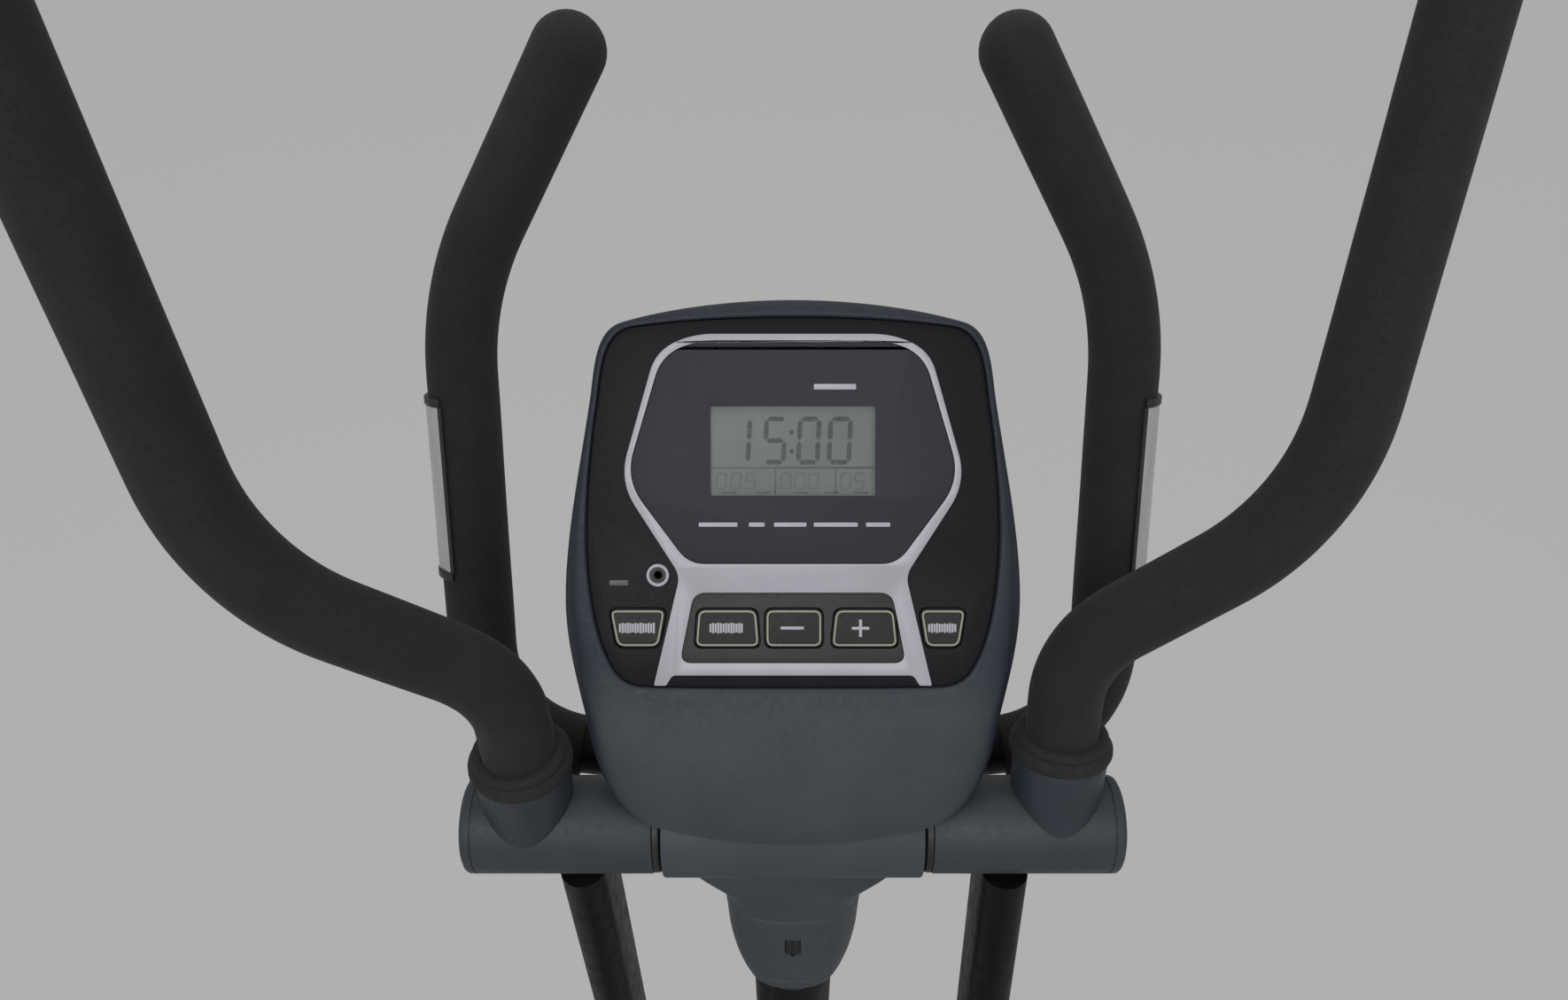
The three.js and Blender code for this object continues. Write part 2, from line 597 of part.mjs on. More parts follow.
// A steel hand-pulse plate: a curved strip on the outer side of the straight part of the grip.
function buildPulsePlate() {
  const inner = GRIP_RADIUS + GAP;
  const outer = inner + 1.2;
  const spread = radians(62);
  const shape = new THREE.Shape();
  shape.absarc(0, 0, outer, -spread, spread, false);
  shape.absarc(0, 0, inner, spread, -spread, true);
  shape.closePath();
  const length = 88;
  const geometry = new THREE.ExtrudeGeometry(shape, { depth: length, bevelEnabled: false, curveSegments: 5 });
  geometry.translate(0, 0, -length / 2);
  const along = HANDLEBAR_HIGH_CORNER.clone().sub(HANDLEBAR_LOW_CORNER);
  const middle = HANDLEBAR_LOW_CORNER.clone().addScaledVector(along, 0.6);
  const turn = new THREE.Quaternion().setFromUnitVectors(new THREE.Vector3(0, 0, 1), along.normalize());
  return solid(geometry, new THREE.Matrix4().compose(middle, turn, new THREE.Vector3(1, 1, 1)));
}

const mastGroup = new THREE.Group();
mastGroup.applyMatrix4(mastMatrix);
atPivot.add(mastGroup);
add('neck_cover_front', buildNeckCover(true), SLATE_PLASTIC, mastGroup);
add('neck_cover_rear', buildNeckCover(false), SLATE_PLASTIC, mastGroup);

add('fixed_handlebar', buildFixedHandlebar(), BLACK_PAINT, atPivot);
for (const [word, side] of SIDES) {
  add(`fixed_grip_${word}`, forSide(side, buildGrip(handlebarHalf(), FIXED_GRIP_START)), FOAM, atPivot);
  add(`pulse_plate_${word}`, forSide(side, buildPulsePlate()), STEEL, atPivot);
}

// ---- Console ------------------------------------------------------------------------------

const consoleGroup = new THREE.Group();
consoleGroup.applyMatrix4(consoleMatrix);
atPivot.add(consoleGroup);

// Half of a left-right symmetric outline as Bezier pieces, each [control, control, end],
// starting at the bottom middle, drawn on both sides; inset shrinks it towards the middle.
function symmetricOutline(start, pieces, middle, inset = 0) {
  const widest = Math.max(...pieces.map((piece) => piece[2][0]));
  const shrinkX = 1 - inset / widest;
  const shrinkZ = 1 - inset / (pieces[pieces.length - 1][2][1] - middle);
  const at = ([x, z], sign) => [sign * x * shrinkX, middle + (z - middle) * shrinkZ];
  const shape = new THREE.Shape();
  shape.moveTo(...at(start, 1));
  pieces.forEach(([a, b, end]) => shape.bezierCurveTo(...at(a, 1), ...at(b, 1), ...at(end, 1)));
  [...pieces].reverse().forEach(([a, b], i, reversed) => {
    const end = i + 1 < reversed.length ? reversed[i + 1][2] : start;
    shape.bezierCurveTo(...at(b, -1), ...at(a, -1), ...at(end, -1));
  });
  return shape;
}

function shellOutline(inset = 0) {
  return symmetricOutline([0, -6.7], [
    [[25, -6.7], [48, -3], [66.8, 3]],
    [[86, 9], [95, 30], [98.9, 48]],
    [[103, 70], [110.6, 92], [110.6, 117]],
    [[110.6, 150], [101, 190], [97, 218]],
    [[95, 236], [93, 249], [80.7, 251.7]],
    [[56, 259], [25, 262], [0, 262]],
  ], CONSOLE_MIDDLE, inset);
}

function panelOutline(inset = 0) {
  return symmetricOutline([0, 75.4], [
    [[25, 75.4], [50, 75.4], [71, 76]],
    [[84, 76.5], [87, 85], [91.3, 95]],
    [[96, 108], [98.8, 128], [98.8, 148.5]],
    [[98.8, 172], [95.5, 200], [93.2, 213]],
    [[91, 230], [90, 246], [76, 248.5]],
    [[50, 252], [25, 253], [0, 253]],
  ], 164, inset);
}

// Everything of the console keeps clear of the neck cover's cross tube.
function pivotRoom(radius) {
  const geometry = new THREE.CylinderGeometry(radius, radius, 300, 20);
  geometry.rotateZ(Math.PI / 2);
  return solid(geometry, consoleMatrix.clone().invert());
}

function buildFrontShell() {
  const outside = cut(plateY(shellOutline(), [0, SHELL_SPLIT_DEPTH]), pivotRoom(COVER_RADIUS + 2));
  const hollow = cut(plateY(shellOutline(3), [8, SHELL_SPLIT_DEPTH + 1]), pivotRoom(COVER_RADIUS + 5));
  const pocket = plateY(panelOutline(-GAP), [-1, PANEL_BACK + GAP]);
  const window = plateY(panelOutline(4), [-1, SHELL_SPLIT_DEPTH]);
  return cut(outside, hollow, pocket, window);
}

const SHELL_HALF_SIZE = [110, 134];   // half width and half height the taper is measured on
const SHELL_TAPER = 32;
const SHELL_WALL = 3;

// The back shell narrows from the front shell's outline to a smaller flat back.
function taperedShell(inset, from, to) {
  const outline = shellOutline(inset);
  const points = outline.getPoints(3).slice(0, -1);
  const sections = [[from, 0], [from + (to - from) * 0.55, SHELL_TAPER * 0.35], [to, SHELL_TAPER]];
  const positions = [];
  const faces = [];
  for (const [depth, shrink] of sections) {
    for (const point of points) {
      const factorX = 1 - shrink / SHELL_HALF_SIZE[0];
      const factorZ = 1 - shrink / SHELL_HALF_SIZE[1];
      positions.push(point.x * factorX, depth, CONSOLE_MIDDLE + (point.y - CONSOLE_MIDDLE) * factorZ);
    }
  }
  const count = points.length;
  for (let i = 0; i < sections.length - 1; i += 1) {
    for (let k = 0; k < count; k += 1) {
      const next = (k + 1) % count;
      const [a, b] = [i * count + k, i * count + next];
      faces.push(a, b + count, b, a, a + count, b + count);
    }
  }
  const last = (sections.length - 1) * count;
  for (const triangle of THREE.ShapeUtils.triangulateShape(points, [])) {
    const [a, b, c] = triangle;
    faces.push(a, b, c);
    faces.push(last + a, last + c, last + b);
  }
  const geometry = new THREE.BufferGeometry();
  geometry.setAttribute('position', new THREE.Float32BufferAttribute(positions, 3));
  geometry.setIndex(faces);
  return solid(geometry);
}

const BATTERY_DOOR_HALF_WIDTH = 32;
const BATTERY_DOOR_HEIGHTS = [122, 176];

function buildBackShell() {
  const front = SHELL_SPLIT_DEPTH + GAP;
  const outside = cut(taperedShell(0, front, SHELL_BACK_DEPTH), pivotRoom(COVER_RADIUS + 2));
  const hollow = cut(taperedShell(SHELL_WALL, front - 1, SHELL_BACK_DEPTH - 2.6), pivotRoom(COVER_RADIUS + 5));
  const half = BATTERY_DOOR_HALF_WIDTH;
  const doorway = box([-half, half], [SHELL_BACK_DEPTH - 6, SHELL_BACK_DEPTH + 1], BATTERY_DOOR_HEIGHTS);
  return cut(outside, hollow, doorway);
}

function buildBatteryDoor() {
  const half = BATTERY_DOOR_HALF_WIDTH - 0.4;
  const heights = [BATTERY_DOOR_HEIGHTS[0] + 0.4, BATTERY_DOOR_HEIGHTS[1] - 0.4];
  return plateY(rectangle([-half, half], heights, 3), [SHELL_BACK_DEPTH - 2.4, SHELL_BACK_DEPTH]);
}

add('console_front_shell', buildFrontShell(), SLATE_PLASTIC, consoleGroup);
add('console_back_shell', buildBackShell(), SLATE_PLASTIC, consoleGroup);
add('battery_door', buildBatteryDoor(), SLATE_PLASTIC, consoleGroup);

// Keys: name, middle, half width at the top, half width at the bottom.
const KEYS = [
  ['key_reset', -74.5, 14, 10.5],
  ['key_mode', -31.5, 14.5, 16],
  ['key_minus', 0.5, 14, 14],
  ['key_plus', 34.5, 14.5, 16.5],
  ['key_recovery', 72, 11.5, 8.5],
];

function keyShape([, middle, top, bottom], grow = 0) {
  const low = KEY_MIDDLE - KEY_HEIGHT / 2 - grow;
  const high = KEY_MIDDLE + KEY_HEIGHT / 2 + grow;
  const t = top + grow;
  const b = bottom + grow;
  return roundedShape([[middle - b, low], [middle + b, low], [middle + t, high], [middle - t, high]], 4);
}

const JACK_X = -64.8;
const JACK_HEIGHT = 130;
const DISPLAY_HALF_WIDTH = 39.5;
const DISPLAY_HEIGHTS = [168, 211];

function buildKeypadPanel() {
  const panel = plateY(panelOutline(), [PANEL_FRONT, PANEL_BACK]);
  const window = box([-DISPLAY_HALF_WIDTH, DISPLAY_HALF_WIDTH], [0, 8], DISPLAY_HEIGHTS);
  const keyHoles = KEYS.map((key) => plateY(keyShape(key, 0.5), [0, 8], 2));
  const jackHole = new THREE.CylinderGeometry(5.9, 5.9, 10, 16).translate(JACK_X, 4, JACK_HEIGHT);
  return cut(panel, window, ...keyHoles, solid(jackHole));
}

// The silver line round the lens, and below it a frame round the three middle keys.
function buildSilverTrim() {
  const shape = roundedShape([
    [61, 76.6], [67, 76.6], [54.5, 130, 4], [84, 175, 14], [66, 237.5, 9], [48, 246, 9],
    [-48, 246, 9], [-66, 237.5, 9], [-84, 175, 14], [-54.5, 130, 4], [-67, 76.6],
    [-61, 76.6], [-59, 80], [59, 80],
  ], 1);
  const keyField = roundedShape([[-54.5, 88], [54.5, 88], [47.5, 121.5], [-47.5, 121.5]], 5);
  shape.holes.push(lensShape(0), keyField);
  return plateY(shape, [1.3, PANEL_FRONT - GAP]);
}

function lensShape(gap) {
  const side = 80 - gap;
  const [low, high] = [135.5 + gap, 242 - gap];
  return roundedShape([
    [-50, low], [50, low], [side, 176, 14], [62.5 - gap, 234.5], [46, high],
    [-46, high], [-62.5 + gap, 234.5], [-side, 176, 14],
  ], 8);
}

function buildBoard() {
  const shape = pathOf([
    [-92, 90], [92, 90], [92, 119], [56, 119], [56, 232], [-56, 232], [-56, 119], [-92, 119],
  ]);
  return plateY(shape, [10.6, 12.2]);
}

function buildPulseSocket() {
  const body = new THREE.CylinderGeometry(5.5, 5.5, 12, 16).translate(JACK_X, 7.6, JACK_HEIGHT);
  const bore = new THREE.CylinderGeometry(2, 2, 9, 12).translate(JACK_X, 4, JACK_HEIGHT);
  return cut(solid(body), solid(bore));
}

add('keypad_panel', buildKeypadPanel(), BLACK_PLASTIC, consoleGroup);
add('silver_trim', buildSilverTrim(), SILVER_TRIM, consoleGroup);
add('display_lens', plateY(lensShape(GAP), [1.5, PANEL_FRONT - GAP]), LENS, consoleGroup);
add('display_module', box([-44, 44], [PANEL_BACK + GAP, 10.2], [163, 216]), DISPLAY, consoleGroup);
add('circuit_board', buildBoard(), CIRCUIT_GREEN, consoleGroup);
add('pulse_socket', buildPulseSocket(), BLACK_PLASTIC, consoleGroup);
for (const key of KEYS) {
  add(key[0], plateY(keyShape(key), [1.7, 10.6 - KEY_TRAVEL - GAP], 2), BLACK_PLASTIC, consoleGroup);
}

// ---- Linkage: where the swing arms and pedal arms stand at rest ----------------------------

// The swing angle that puts the lower joint a pedal arm's length from the crank pin.
function swingAngle(phase) {
  const pinY = CRANK_AXIS_Y + CRANK_RADIUS * Math.cos(phase);
  const pinZ = CRANK_AXIS_Z + CRANK_RADIUS * Math.sin(phase) - PIVOT_HEIGHT;
  const reach = Math.hypot(pinY, pinZ);
  const corner = Math.acos(
    (SWING_LENGTH ** 2 + reach ** 2 - PEDAL_ARM_LENGTH ** 2) / (2 * SWING_LENGTH * reach));
  const pinBearing = Math.atan2(pinY, -pinZ);
  return pinBearing + corner;
}

const linkage = Object.fromEntries(SIDES.map(([word, side]) => {
  const phase = radians(CRANK_PHASE_DEG) + (side > 0 ? Math.PI : 0);
  const swing = swingAngle(phase);
  const joint = new THREE.Vector3(0, SWING_LENGTH * Math.sin(swing), PIVOT_HEIGHT - SWING_LENGTH * Math.cos(swing));
  const pinY = CRANK_AXIS_Y + CRANK_RADIUS * Math.cos(phase);
  const pinZ = CRANK_AXIS_Z + CRANK_RADIUS * Math.sin(phase);
  return [word, { phase, swing, joint, pedalTurn: Math.atan2(joint.z - pinZ, joint.y - pinY) }];
}));

// ---- Swing arms, in a frame at the pivot with Z up the arm ---------------------------------

const SOCKET_LEAN = new THREE.Matrix4().makeRotationX(radians(-6)).setPosition(SOCKET_X, 0, 0);
const LOWER_BEARING_X = [ARM_X - 14, ARM_X + 14];
const PEDAL_BOLT_RADIUS = 8;

function buildPivotSleeve() {
  const sleeve = barX([SLEEVE_INNER_X, SLEEVE_OUTER_X], SLEEVE_RADIUS, 0, 0, 20);
  const socket = barZ([0, SOCKET_HEIGHT], 22.5, SOCKET_LEAN, 23.5);
  const handleBore = barZ([19, SOCKET_HEIGHT + 1], HANDLE_TUBE_RADIUS + 0.9, SOCKET_LEAN);
  const bushBore = barX([SLEEVE_INNER_X - 1, SLEEVE_OUTER_X - 6], 17.4);
  return cut(joined(sleeve, socket), handleBore, bushBore);
}

// A plain bearing bush with a flange that shows at the sleeve's inner end.
function buildPivotBush() {
  const barrel = barX([SLEEVE_INNER_X - 3.8, AXLE_HALF_LENGTH - 2], 17);
  const flange = barX([SLEEVE_INNER_X - 3.8, SLEEVE_INNER_X - GAP], SLEEVE_RADIUS - 0.5, 0, 0, 20);
  return cut(joined(barrel, flange), barX([SLEEVE_INNER_X - 5, AXLE_HALF_LENGTH], AXLE_RADIUS + 0.3));
}

function buildLowerArm() {
  const top = -SLEEVE_RADIUS + 3;
  const outline = (x, y) => {
    const shape = new THREE.Shape();
    shape.absarc(0, y - x, x, 0, Math.PI, false);
    shape.absarc(0, x - y, x, Math.PI, 2 * Math.PI, false);
    return shape;
  };
  const run = (shape, low, high) => {
    const geometry = new THREE.ExtrudeGeometry(shape, { depth: high - low, bevelEnabled: false, curveSegments: 4 });
    geometry.translate(ARM_X, 0, low);
    return solid(geometry);
  };
  const flat = run(outline(11.7, 24), -SWING_LENGTH, top);
  const bore = run(outline(9.7, 22), -SWING_LENGTH + 30, top + 1);
  const sleeveRoom = barX([SLEEVE_INNER_X - 9, SLEEVE_OUTER_X], SLEEVE_RADIUS + GAP, 0, 0, 20);
  const bearing = barX(LOWER_BEARING_X, 19, 0, -SWING_LENGTH);
  const below = box([ARM_X - 30, ARM_X + 30], [-40, 40], [-SWING_LENGTH - 60, -SWING_LENGTH - 8]);
  const arm = joined(cut(flat, bore, sleeveRoom, below), bearing);
  return cut(arm, barX([LOWER_BEARING_X[0] - 1, LOWER_BEARING_X[1] + 1], PEDAL_BOLT_RADIUS + 0.5, 0, -SWING_LENGTH));
}

const HANDLE_START = new THREE.Vector3(SOCKET_X, 2.5, 20);
const HANDLE_LOW_CORNER = new THREE.Vector3(SOCKET_X - 1, 9, 106);
const HANDLE_HIGH_CORNER = new THREE.Vector3(228, -4, 190);
const HANDLE_END = new THREE.Vector3(264, 60, 420);
const HANDLE_BENDS = [60, 120];
const MOVING_GRIP_START = 34;

function handleLine() {
  return bentLine([HANDLE_START, HANDLE_LOW_CORNER, HANDLE_HIGH_CORNER, HANDLE_END], HANDLE_BENDS);
}

function buildHandleTube() {
  const line = handleLine();
  return tube(stretch(line, 0, lengthOf(line) - TUBE_SHORTFALL), HANDLE_TUBE_RADIUS, HANDLE_TUBE_RADIUS - 2);
}

for (const [word, side] of SIDES) {
  const swing = new THREE.Group();
  swing.rotation.x = linkage[word].swing;
  atPivot.add(swing);
  add(`pivot_sleeve_${word}`, forSide(side, buildPivotSleeve()), SLATE_PLASTIC, swing);
  add(`pivot_bush_${word}`, forSide(side, buildPivotBush()), BLACK_PLASTIC, swing);
  add(`lower_arm_${word}`, forSide(side, buildLowerArm()), BLACK_PAINT, swing);
  add(`handle_tube_${word}`, forSide(side, buildHandleTube()), BLACK_PAINT, swing);
  add(`handle_grip_${word}`, forSide(side, buildGrip(handleLine(), MOVING_GRIP_START)), FOAM, swing);
}

// ---- Pedal arms, in a frame at the lower joint with -Y towards the crank pin ----------------

const PEDAL_TUBE_HALF = [15, 24];     // half width and half height
const CRANK_BEARING_X = [87, 131];

function buildPedalArm() {
  const [wide, tall] = PEDAL_TUBE_HALF;
  const ends = [-PEDAL_ARM_LENGTH + 12, -46];
  const section = (x, z, radius) => rectangle([ARM_X - x, ARM_X + x], [-z, z], radius);
  const run = cut(
    plateY(section(wide, tall, 6), ends, 2),
    plateY(section(wide - 2, tall - 2, 4), [ends[0] + 20, ends[1] + 1], 1));
  const ear = (x) => plateX(roundedShape([
    [-90, -20, 6], [14, -20, 11], [22, 0, 8], [14, 20, 11], [-90, 20, 6],
  ]), [x, x + 5.5], 2);
  const ears = [ear(ARM_X - wide - 5), ear(ARM_X + wide - 0.5)];
  const bearing = barX(CRANK_BEARING_X, 26, -PEDAL_ARM_LENGTH, 0);
  const crankPinBore = barX([CRANK_BEARING_X[0] - 1, CRANK_BEARING_X[1] - 10], 9, -PEDAL_ARM_LENGTH, 0);
  const boltBore = barX([ARM_X - 30, ARM_X + 30], PEDAL_BOLT_RADIUS + GAP);
  return cut(joined(run, ...ears, bearing), crankPinBore, boltBore);
}

function buildPedalBolt() {
  const inner = ARM_X - PEDAL_TUBE_HALF[0] - 5 - GAP;
  const outer = ARM_X + PEDAL_TUBE_HALF[0] + 5 + GAP;
  const shank = barX([inner - 3, outer + 3], PEDAL_BOLT_RADIUS);
  const head = barX([inner - 4, inner], 12, 0, 0, 6);
  const cap = barX([outer, outer + 4], 14);
  return joined(shank, head, cap);
}

const FOOT_PLATE_X = [90, 222];
const FOOT_PLATE_Y = [-430, -86];
const FOOT_PLATE_Z = [PEDAL_TUBE_HALF[1] + GAP, PEDAL_TUBE_HALF[1] + 34];

function buildFootPlate() {
  const outline = (inset, radius) => {
    const [x0, x1] = [FOOT_PLATE_X[0] + inset, FOOT_PLATE_X[1] - inset];
    const [y0, y1] = [FOOT_PLATE_Y[0] + inset, FOOT_PLATE_Y[1] - inset];
    return roundedShape([[x0, y0], [x1, y0], [x1, y1], [x0, y1]], radius);
  };
  const slab = (shape, low, high) => {
    const geometry = new THREE.ExtrudeGeometry(shape, { depth: high - low, bevelEnabled: false, curveSegments: 4 });
    geometry.translate(0, 0, low);
    return solid(geometry);
  };
  const tray = cut(
    slab(outline(0, 40), FOOT_PLATE_Z[0], FOOT_PLATE_Z[1]),
    slab(outline(5, 36), FOOT_PLATE_Z[0] + 8, FOOT_PLATE_Z[1] + 1));
  const rearOpening = box([FOOT_PLATE_X[0] + 30, FOOT_PLATE_X[1] - 30],
    [FOOT_PLATE_Y[0] - 1, FOOT_PLATE_Y[0] + 40], [FOOT_PLATE_Z[0] + 16, FOOT_PLATE_Z[1] + 1]);
  return cut(tray, rearOpening);
}

for (const [word, side] of SIDES) {
  const pedal = new THREE.Group();
  pedal.position.copy(linkage[word].joint);
  pedal.rotation.x = linkage[word].pedalTurn;
  trainer.add(pedal);
  add(`pedal_arm_${word}`, forSide(side, buildPedalArm()), BLACK_PAINT, pedal);
  add(`pedal_bolt_${word}`, forSide(side, buildPedalBolt()), STEEL, pedal);
  add(`foot_plate_${word}`, forSide(side, buildFootPlate()), BLACK_PLASTIC, pedal);
}

// ---- Crank, drive and brake ----------------------------------------------------------------

const CRANK_DISC_X = [61, 69];
const CRANK_ARM_X = [70, 82];

// A ring-shaped wheel about an axis along X: its profile is a closed list of [radius, x].
function wheelX(profile, y, z, sides) {
  const points = [...profile, profile[0]].map(([radius, x]) => new THREE.Vector2(radius, x));
  const geometry = new THREE.LatheGeometry(points, sides);
  geometry.rotateZ(-Math.PI / 2);
  geometry.translate(0, y, z);
  return solid(geometry);
}

function buildFlywheel() {
  return wheelX([
    [8.9, -42], [24, -42], [24, -27], [100, -27], [100, -40], [FLYWHEEL_RADIUS, -40], [FLYWHEEL_RADIUS, -4],
    [100, -4], [100, -17], [FLYWHEEL_PULLEY_RADIUS, -17], [FLYWHEEL_PULLEY_RADIUS, 42], [8.9, 42],
  ], FLYWHEEL_AXIS_Y, FLYWHEEL_AXIS_Z, 24);
}

function buildDrivePulley() {
  const rim = DRIVE_PULLEY_RADIUS;
  return wheelX([
    [10.4, 22], [26, 22], [26, 29], [rim - 14, 29], [rim - 14, 25], [rim, 25],
    [rim, 39], [26, 39], [26, 42], [10.4, 42],
  ], CRANK_AXIS_Y, CRANK_AXIS_Z, 24);
}

function buildBelt() {
  const loop = (grow) => wrapShape(
    CRANK_AXIS_Y, CRANK_AXIS_Z, DRIVE_PULLEY_RADIUS + grow,
    FLYWHEEL_AXIS_Y, FLYWHEEL_AXIS_Z, FLYWHEEL_PULLEY_RADIUS + grow);
  const outside = plateX(loop(0.5 + BELT_THICKNESS), [BELT_LEFT_X, BELT_RIGHT_X], BELT_ARC_STEPS);
  return cut(outside, plateX(loop(0.5), [BELT_LEFT_X - 1, BELT_RIGHT_X + 1], BELT_ARC_STEPS));
}

// The brake shoe hangs under the flywheel's rim and turns on a pin near its front end.
function buildBrakeArm() {
  const shape = new THREE.Shape();
  const [inner, outer] = [FLYWHEEL_RADIUS + 4, FLYWHEEL_RADIUS + 12];
  shape.absarc(FLYWHEEL_AXIS_Y, FLYWHEEL_AXIS_Z, outer, radians(-118), radians(-55), false);
  shape.absarc(FLYWHEEL_AXIS_Y, FLYWHEEL_AXIS_Z, inner, radians(-55), radians(-118), true);
  shape.closePath();
  const shoe = plateX(shape, [-38, -6], 7);
  const boss = barX([-38, -6], 7.5, BRAKE_PIVOT_Y, BRAKE_PIVOT_Z, 16);
  return cut(joined(shoe, boss), barX([-39, -3], 4.4, BRAKE_PIVOT_Y, BRAKE_PIVOT_Z, 12));
}

add('flywheel', buildFlywheel(), CAST_IRON);
add('flywheel_axle', barX([-54, 53], 8, FLYWHEEL_AXIS_Y, FLYWHEEL_AXIS_Z), STEEL);
add('drive_pulley', buildDrivePulley(), BLACK_PLASTIC);
add('drive_belt', buildBelt(), RUBBER);
add('brake_arm', buildBrakeArm(), STEEL);
add('crank_axle', barX([-81.5, 81.5], 10, CRANK_AXIS_Y, CRANK_AXIS_Z), STEEL);

function buildHousingHalf() {
  const outline = (inset) => wrapShape(
    CRANK_AXIS_Y, CRANK_AXIS_Z, HOUSING_CRANK_RADIUS - inset,
    FLYWHEEL_AXIS_Y, FLYWHEEL_AXIS_Z, HOUSING_FLYWHEEL_RADIUS - inset);
  const outside = plateX(outline(0), [GAP / 2, HOUSING_HALF_WIDTH]);
  const hollow = plateX(outline(HOUSING_WALL), [-1, HOUSING_HALF_WIDTH - HOUSING_WALL]);
  const axleHole = barX([40, 70], 20, CRANK_AXIS_Y, CRANK_AXIS_Z);
  const frameSlot = box([-1, HOUSING_HALF_WIDTH - HOUSING_WALL],
    [FLYWHEEL_AXIS_Y - 66, CRANK_AXIS_Y + 86], [SPINE_TOP, 200]);
  return cut(outside, hollow, axleHole, frameSlot);
}

function buildCrankDisc() {
  const disc = barX(CRANK_DISC_X, CRANK_DISC_RADIUS, CRANK_AXIS_Y, CRANK_AXIS_Z, 32);
  return cut(disc, barX([CRANK_DISC_X[0] - 1, CRANK_DISC_X[1] + 1], 10.4, CRANK_AXIS_Y, CRANK_AXIS_Z));
}

// A tapered arm from the crank axle to the crank pin's boss.
function buildCrankArm(phase) {
  const pinY = CRANK_AXIS_Y + CRANK_RADIUS * Math.cos(phase);
  const pinZ = CRANK_AXIS_Z + CRANK_RADIUS * Math.sin(phase);
  const arm = plateX(wrapShape(CRANK_AXIS_Y, CRANK_AXIS_Z, 24, pinY, pinZ, 19), CRANK_ARM_X, 8);
  const boss = barX([CRANK_ARM_X[1] - 1, CRANK_ARM_X[1] + 2], 15, pinY, pinZ);
  return cut(joined(arm, boss), barX([CRANK_ARM_X[0] - 1, CRANK_ARM_X[1] + 3], 10.4, CRANK_AXIS_Y, CRANK_AXIS_Z));
}

for (const [word, side] of SIDES) {
  add(`housing_${word}`, forSide(side, buildHousingHalf()), SLATE_PLASTIC);
  add(`crank_disc_${word}`, forSide(side, buildCrankDisc()), BLACK_PLASTIC);
  add(`crank_arm_${word}`, forSide(side, buildCrankArm(linkage[word].phase)), BLACK_PAINT);
}

export default trainer;
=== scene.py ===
"""Looks of an elliptical trainer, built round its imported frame.

Lengths are millimetres inside this file; piece() turns them into metres of the shared frame.
+X is the user's right, +Y points forward, +Z is up.
"""

import json
import math

import bmesh
import bpy
from mathutils import Matrix, Vector, noise


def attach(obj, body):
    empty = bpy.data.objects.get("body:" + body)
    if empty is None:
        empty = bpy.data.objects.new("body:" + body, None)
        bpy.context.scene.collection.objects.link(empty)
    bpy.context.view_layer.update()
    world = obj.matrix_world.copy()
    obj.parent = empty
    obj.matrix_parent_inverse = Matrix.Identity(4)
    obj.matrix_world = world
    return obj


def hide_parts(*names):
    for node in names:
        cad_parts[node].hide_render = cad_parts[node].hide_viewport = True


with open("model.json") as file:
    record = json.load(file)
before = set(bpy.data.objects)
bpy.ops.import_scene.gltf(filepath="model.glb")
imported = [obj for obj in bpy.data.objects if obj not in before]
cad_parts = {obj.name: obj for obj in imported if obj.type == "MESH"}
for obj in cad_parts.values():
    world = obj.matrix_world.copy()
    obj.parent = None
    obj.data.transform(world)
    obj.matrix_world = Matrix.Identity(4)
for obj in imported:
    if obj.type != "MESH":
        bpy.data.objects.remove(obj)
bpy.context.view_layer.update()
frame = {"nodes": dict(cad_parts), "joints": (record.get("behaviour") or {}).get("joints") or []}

MM = 0.001
METRE = 1000      # millimetres
SIDES = (("left", -1), ("right", 1))

# ---- Places ----

joints = {joint["name"]: joint for joint in frame["joints"]}


def joint_point(name):
    return Vector(joints[name]["pos_m"]) / MM


def turned(origin, degrees):
    return Matrix.Translation(origin) @ Matrix.Rotation(math.radians(degrees), 4, "X")


PIVOT = joint_point("swing_left")
CRANK_AXIS = joint_point("crank_spin")
FLYWHEEL_AXIS = joint_point("flywheel_spin")
CRANK_RADIUS = 150
CRANK_PHASE = math.radians(52)
SWING_LENGTH = 830
PEDAL_ARM_LENGTH = 700
MAST_AHEAD = 13.7                  # of the pivot, at the pivot's height
MAST_LEAN = 9
FACE_FOOT = (0, -28.4, 22.7)       # the console face's lower middle, from the pivot
FACE_LEAN = -35
SPINE_Z = (46.8, 86.8)             # the frame's long tube

mast_turn = turned((0, MAST_AHEAD, 0), MAST_LEAN)
pivot_in_mast = mast_turn.inverted()
at_pivot = Matrix.Translation(PIVOT)
at_mast = at_pivot @ mast_turn
at_face = at_pivot @ turned(FACE_FOOT, FACE_LEAN)
at_ground = Matrix.Translation((0, PIVOT.y, 0))      # under the pivot, at floor level
at_swing = {}
at_pedal = {}
crank_phase = {}
for word, side in SIDES:
    lower_joint = joint_point("pedal_pivot_" + word)
    hang = lower_joint - PIVOT
    at_swing[word] = turned(PIVOT, math.degrees(math.atan2(hang.y, -hang.z)))
    phase = CRANK_PHASE + (math.pi if side > 0 else 0)
    pin = CRANK_AXIS + CRANK_RADIUS * Vector((0, math.cos(phase), math.sin(phase)))
    ahead = lower_joint - pin
    at_pedal[word] = turned(lower_joint, math.degrees(math.atan2(ahead.z, ahead.y)))
    crank_phase[word] = phase

# ---- Outlines: lists of (a, b) ----


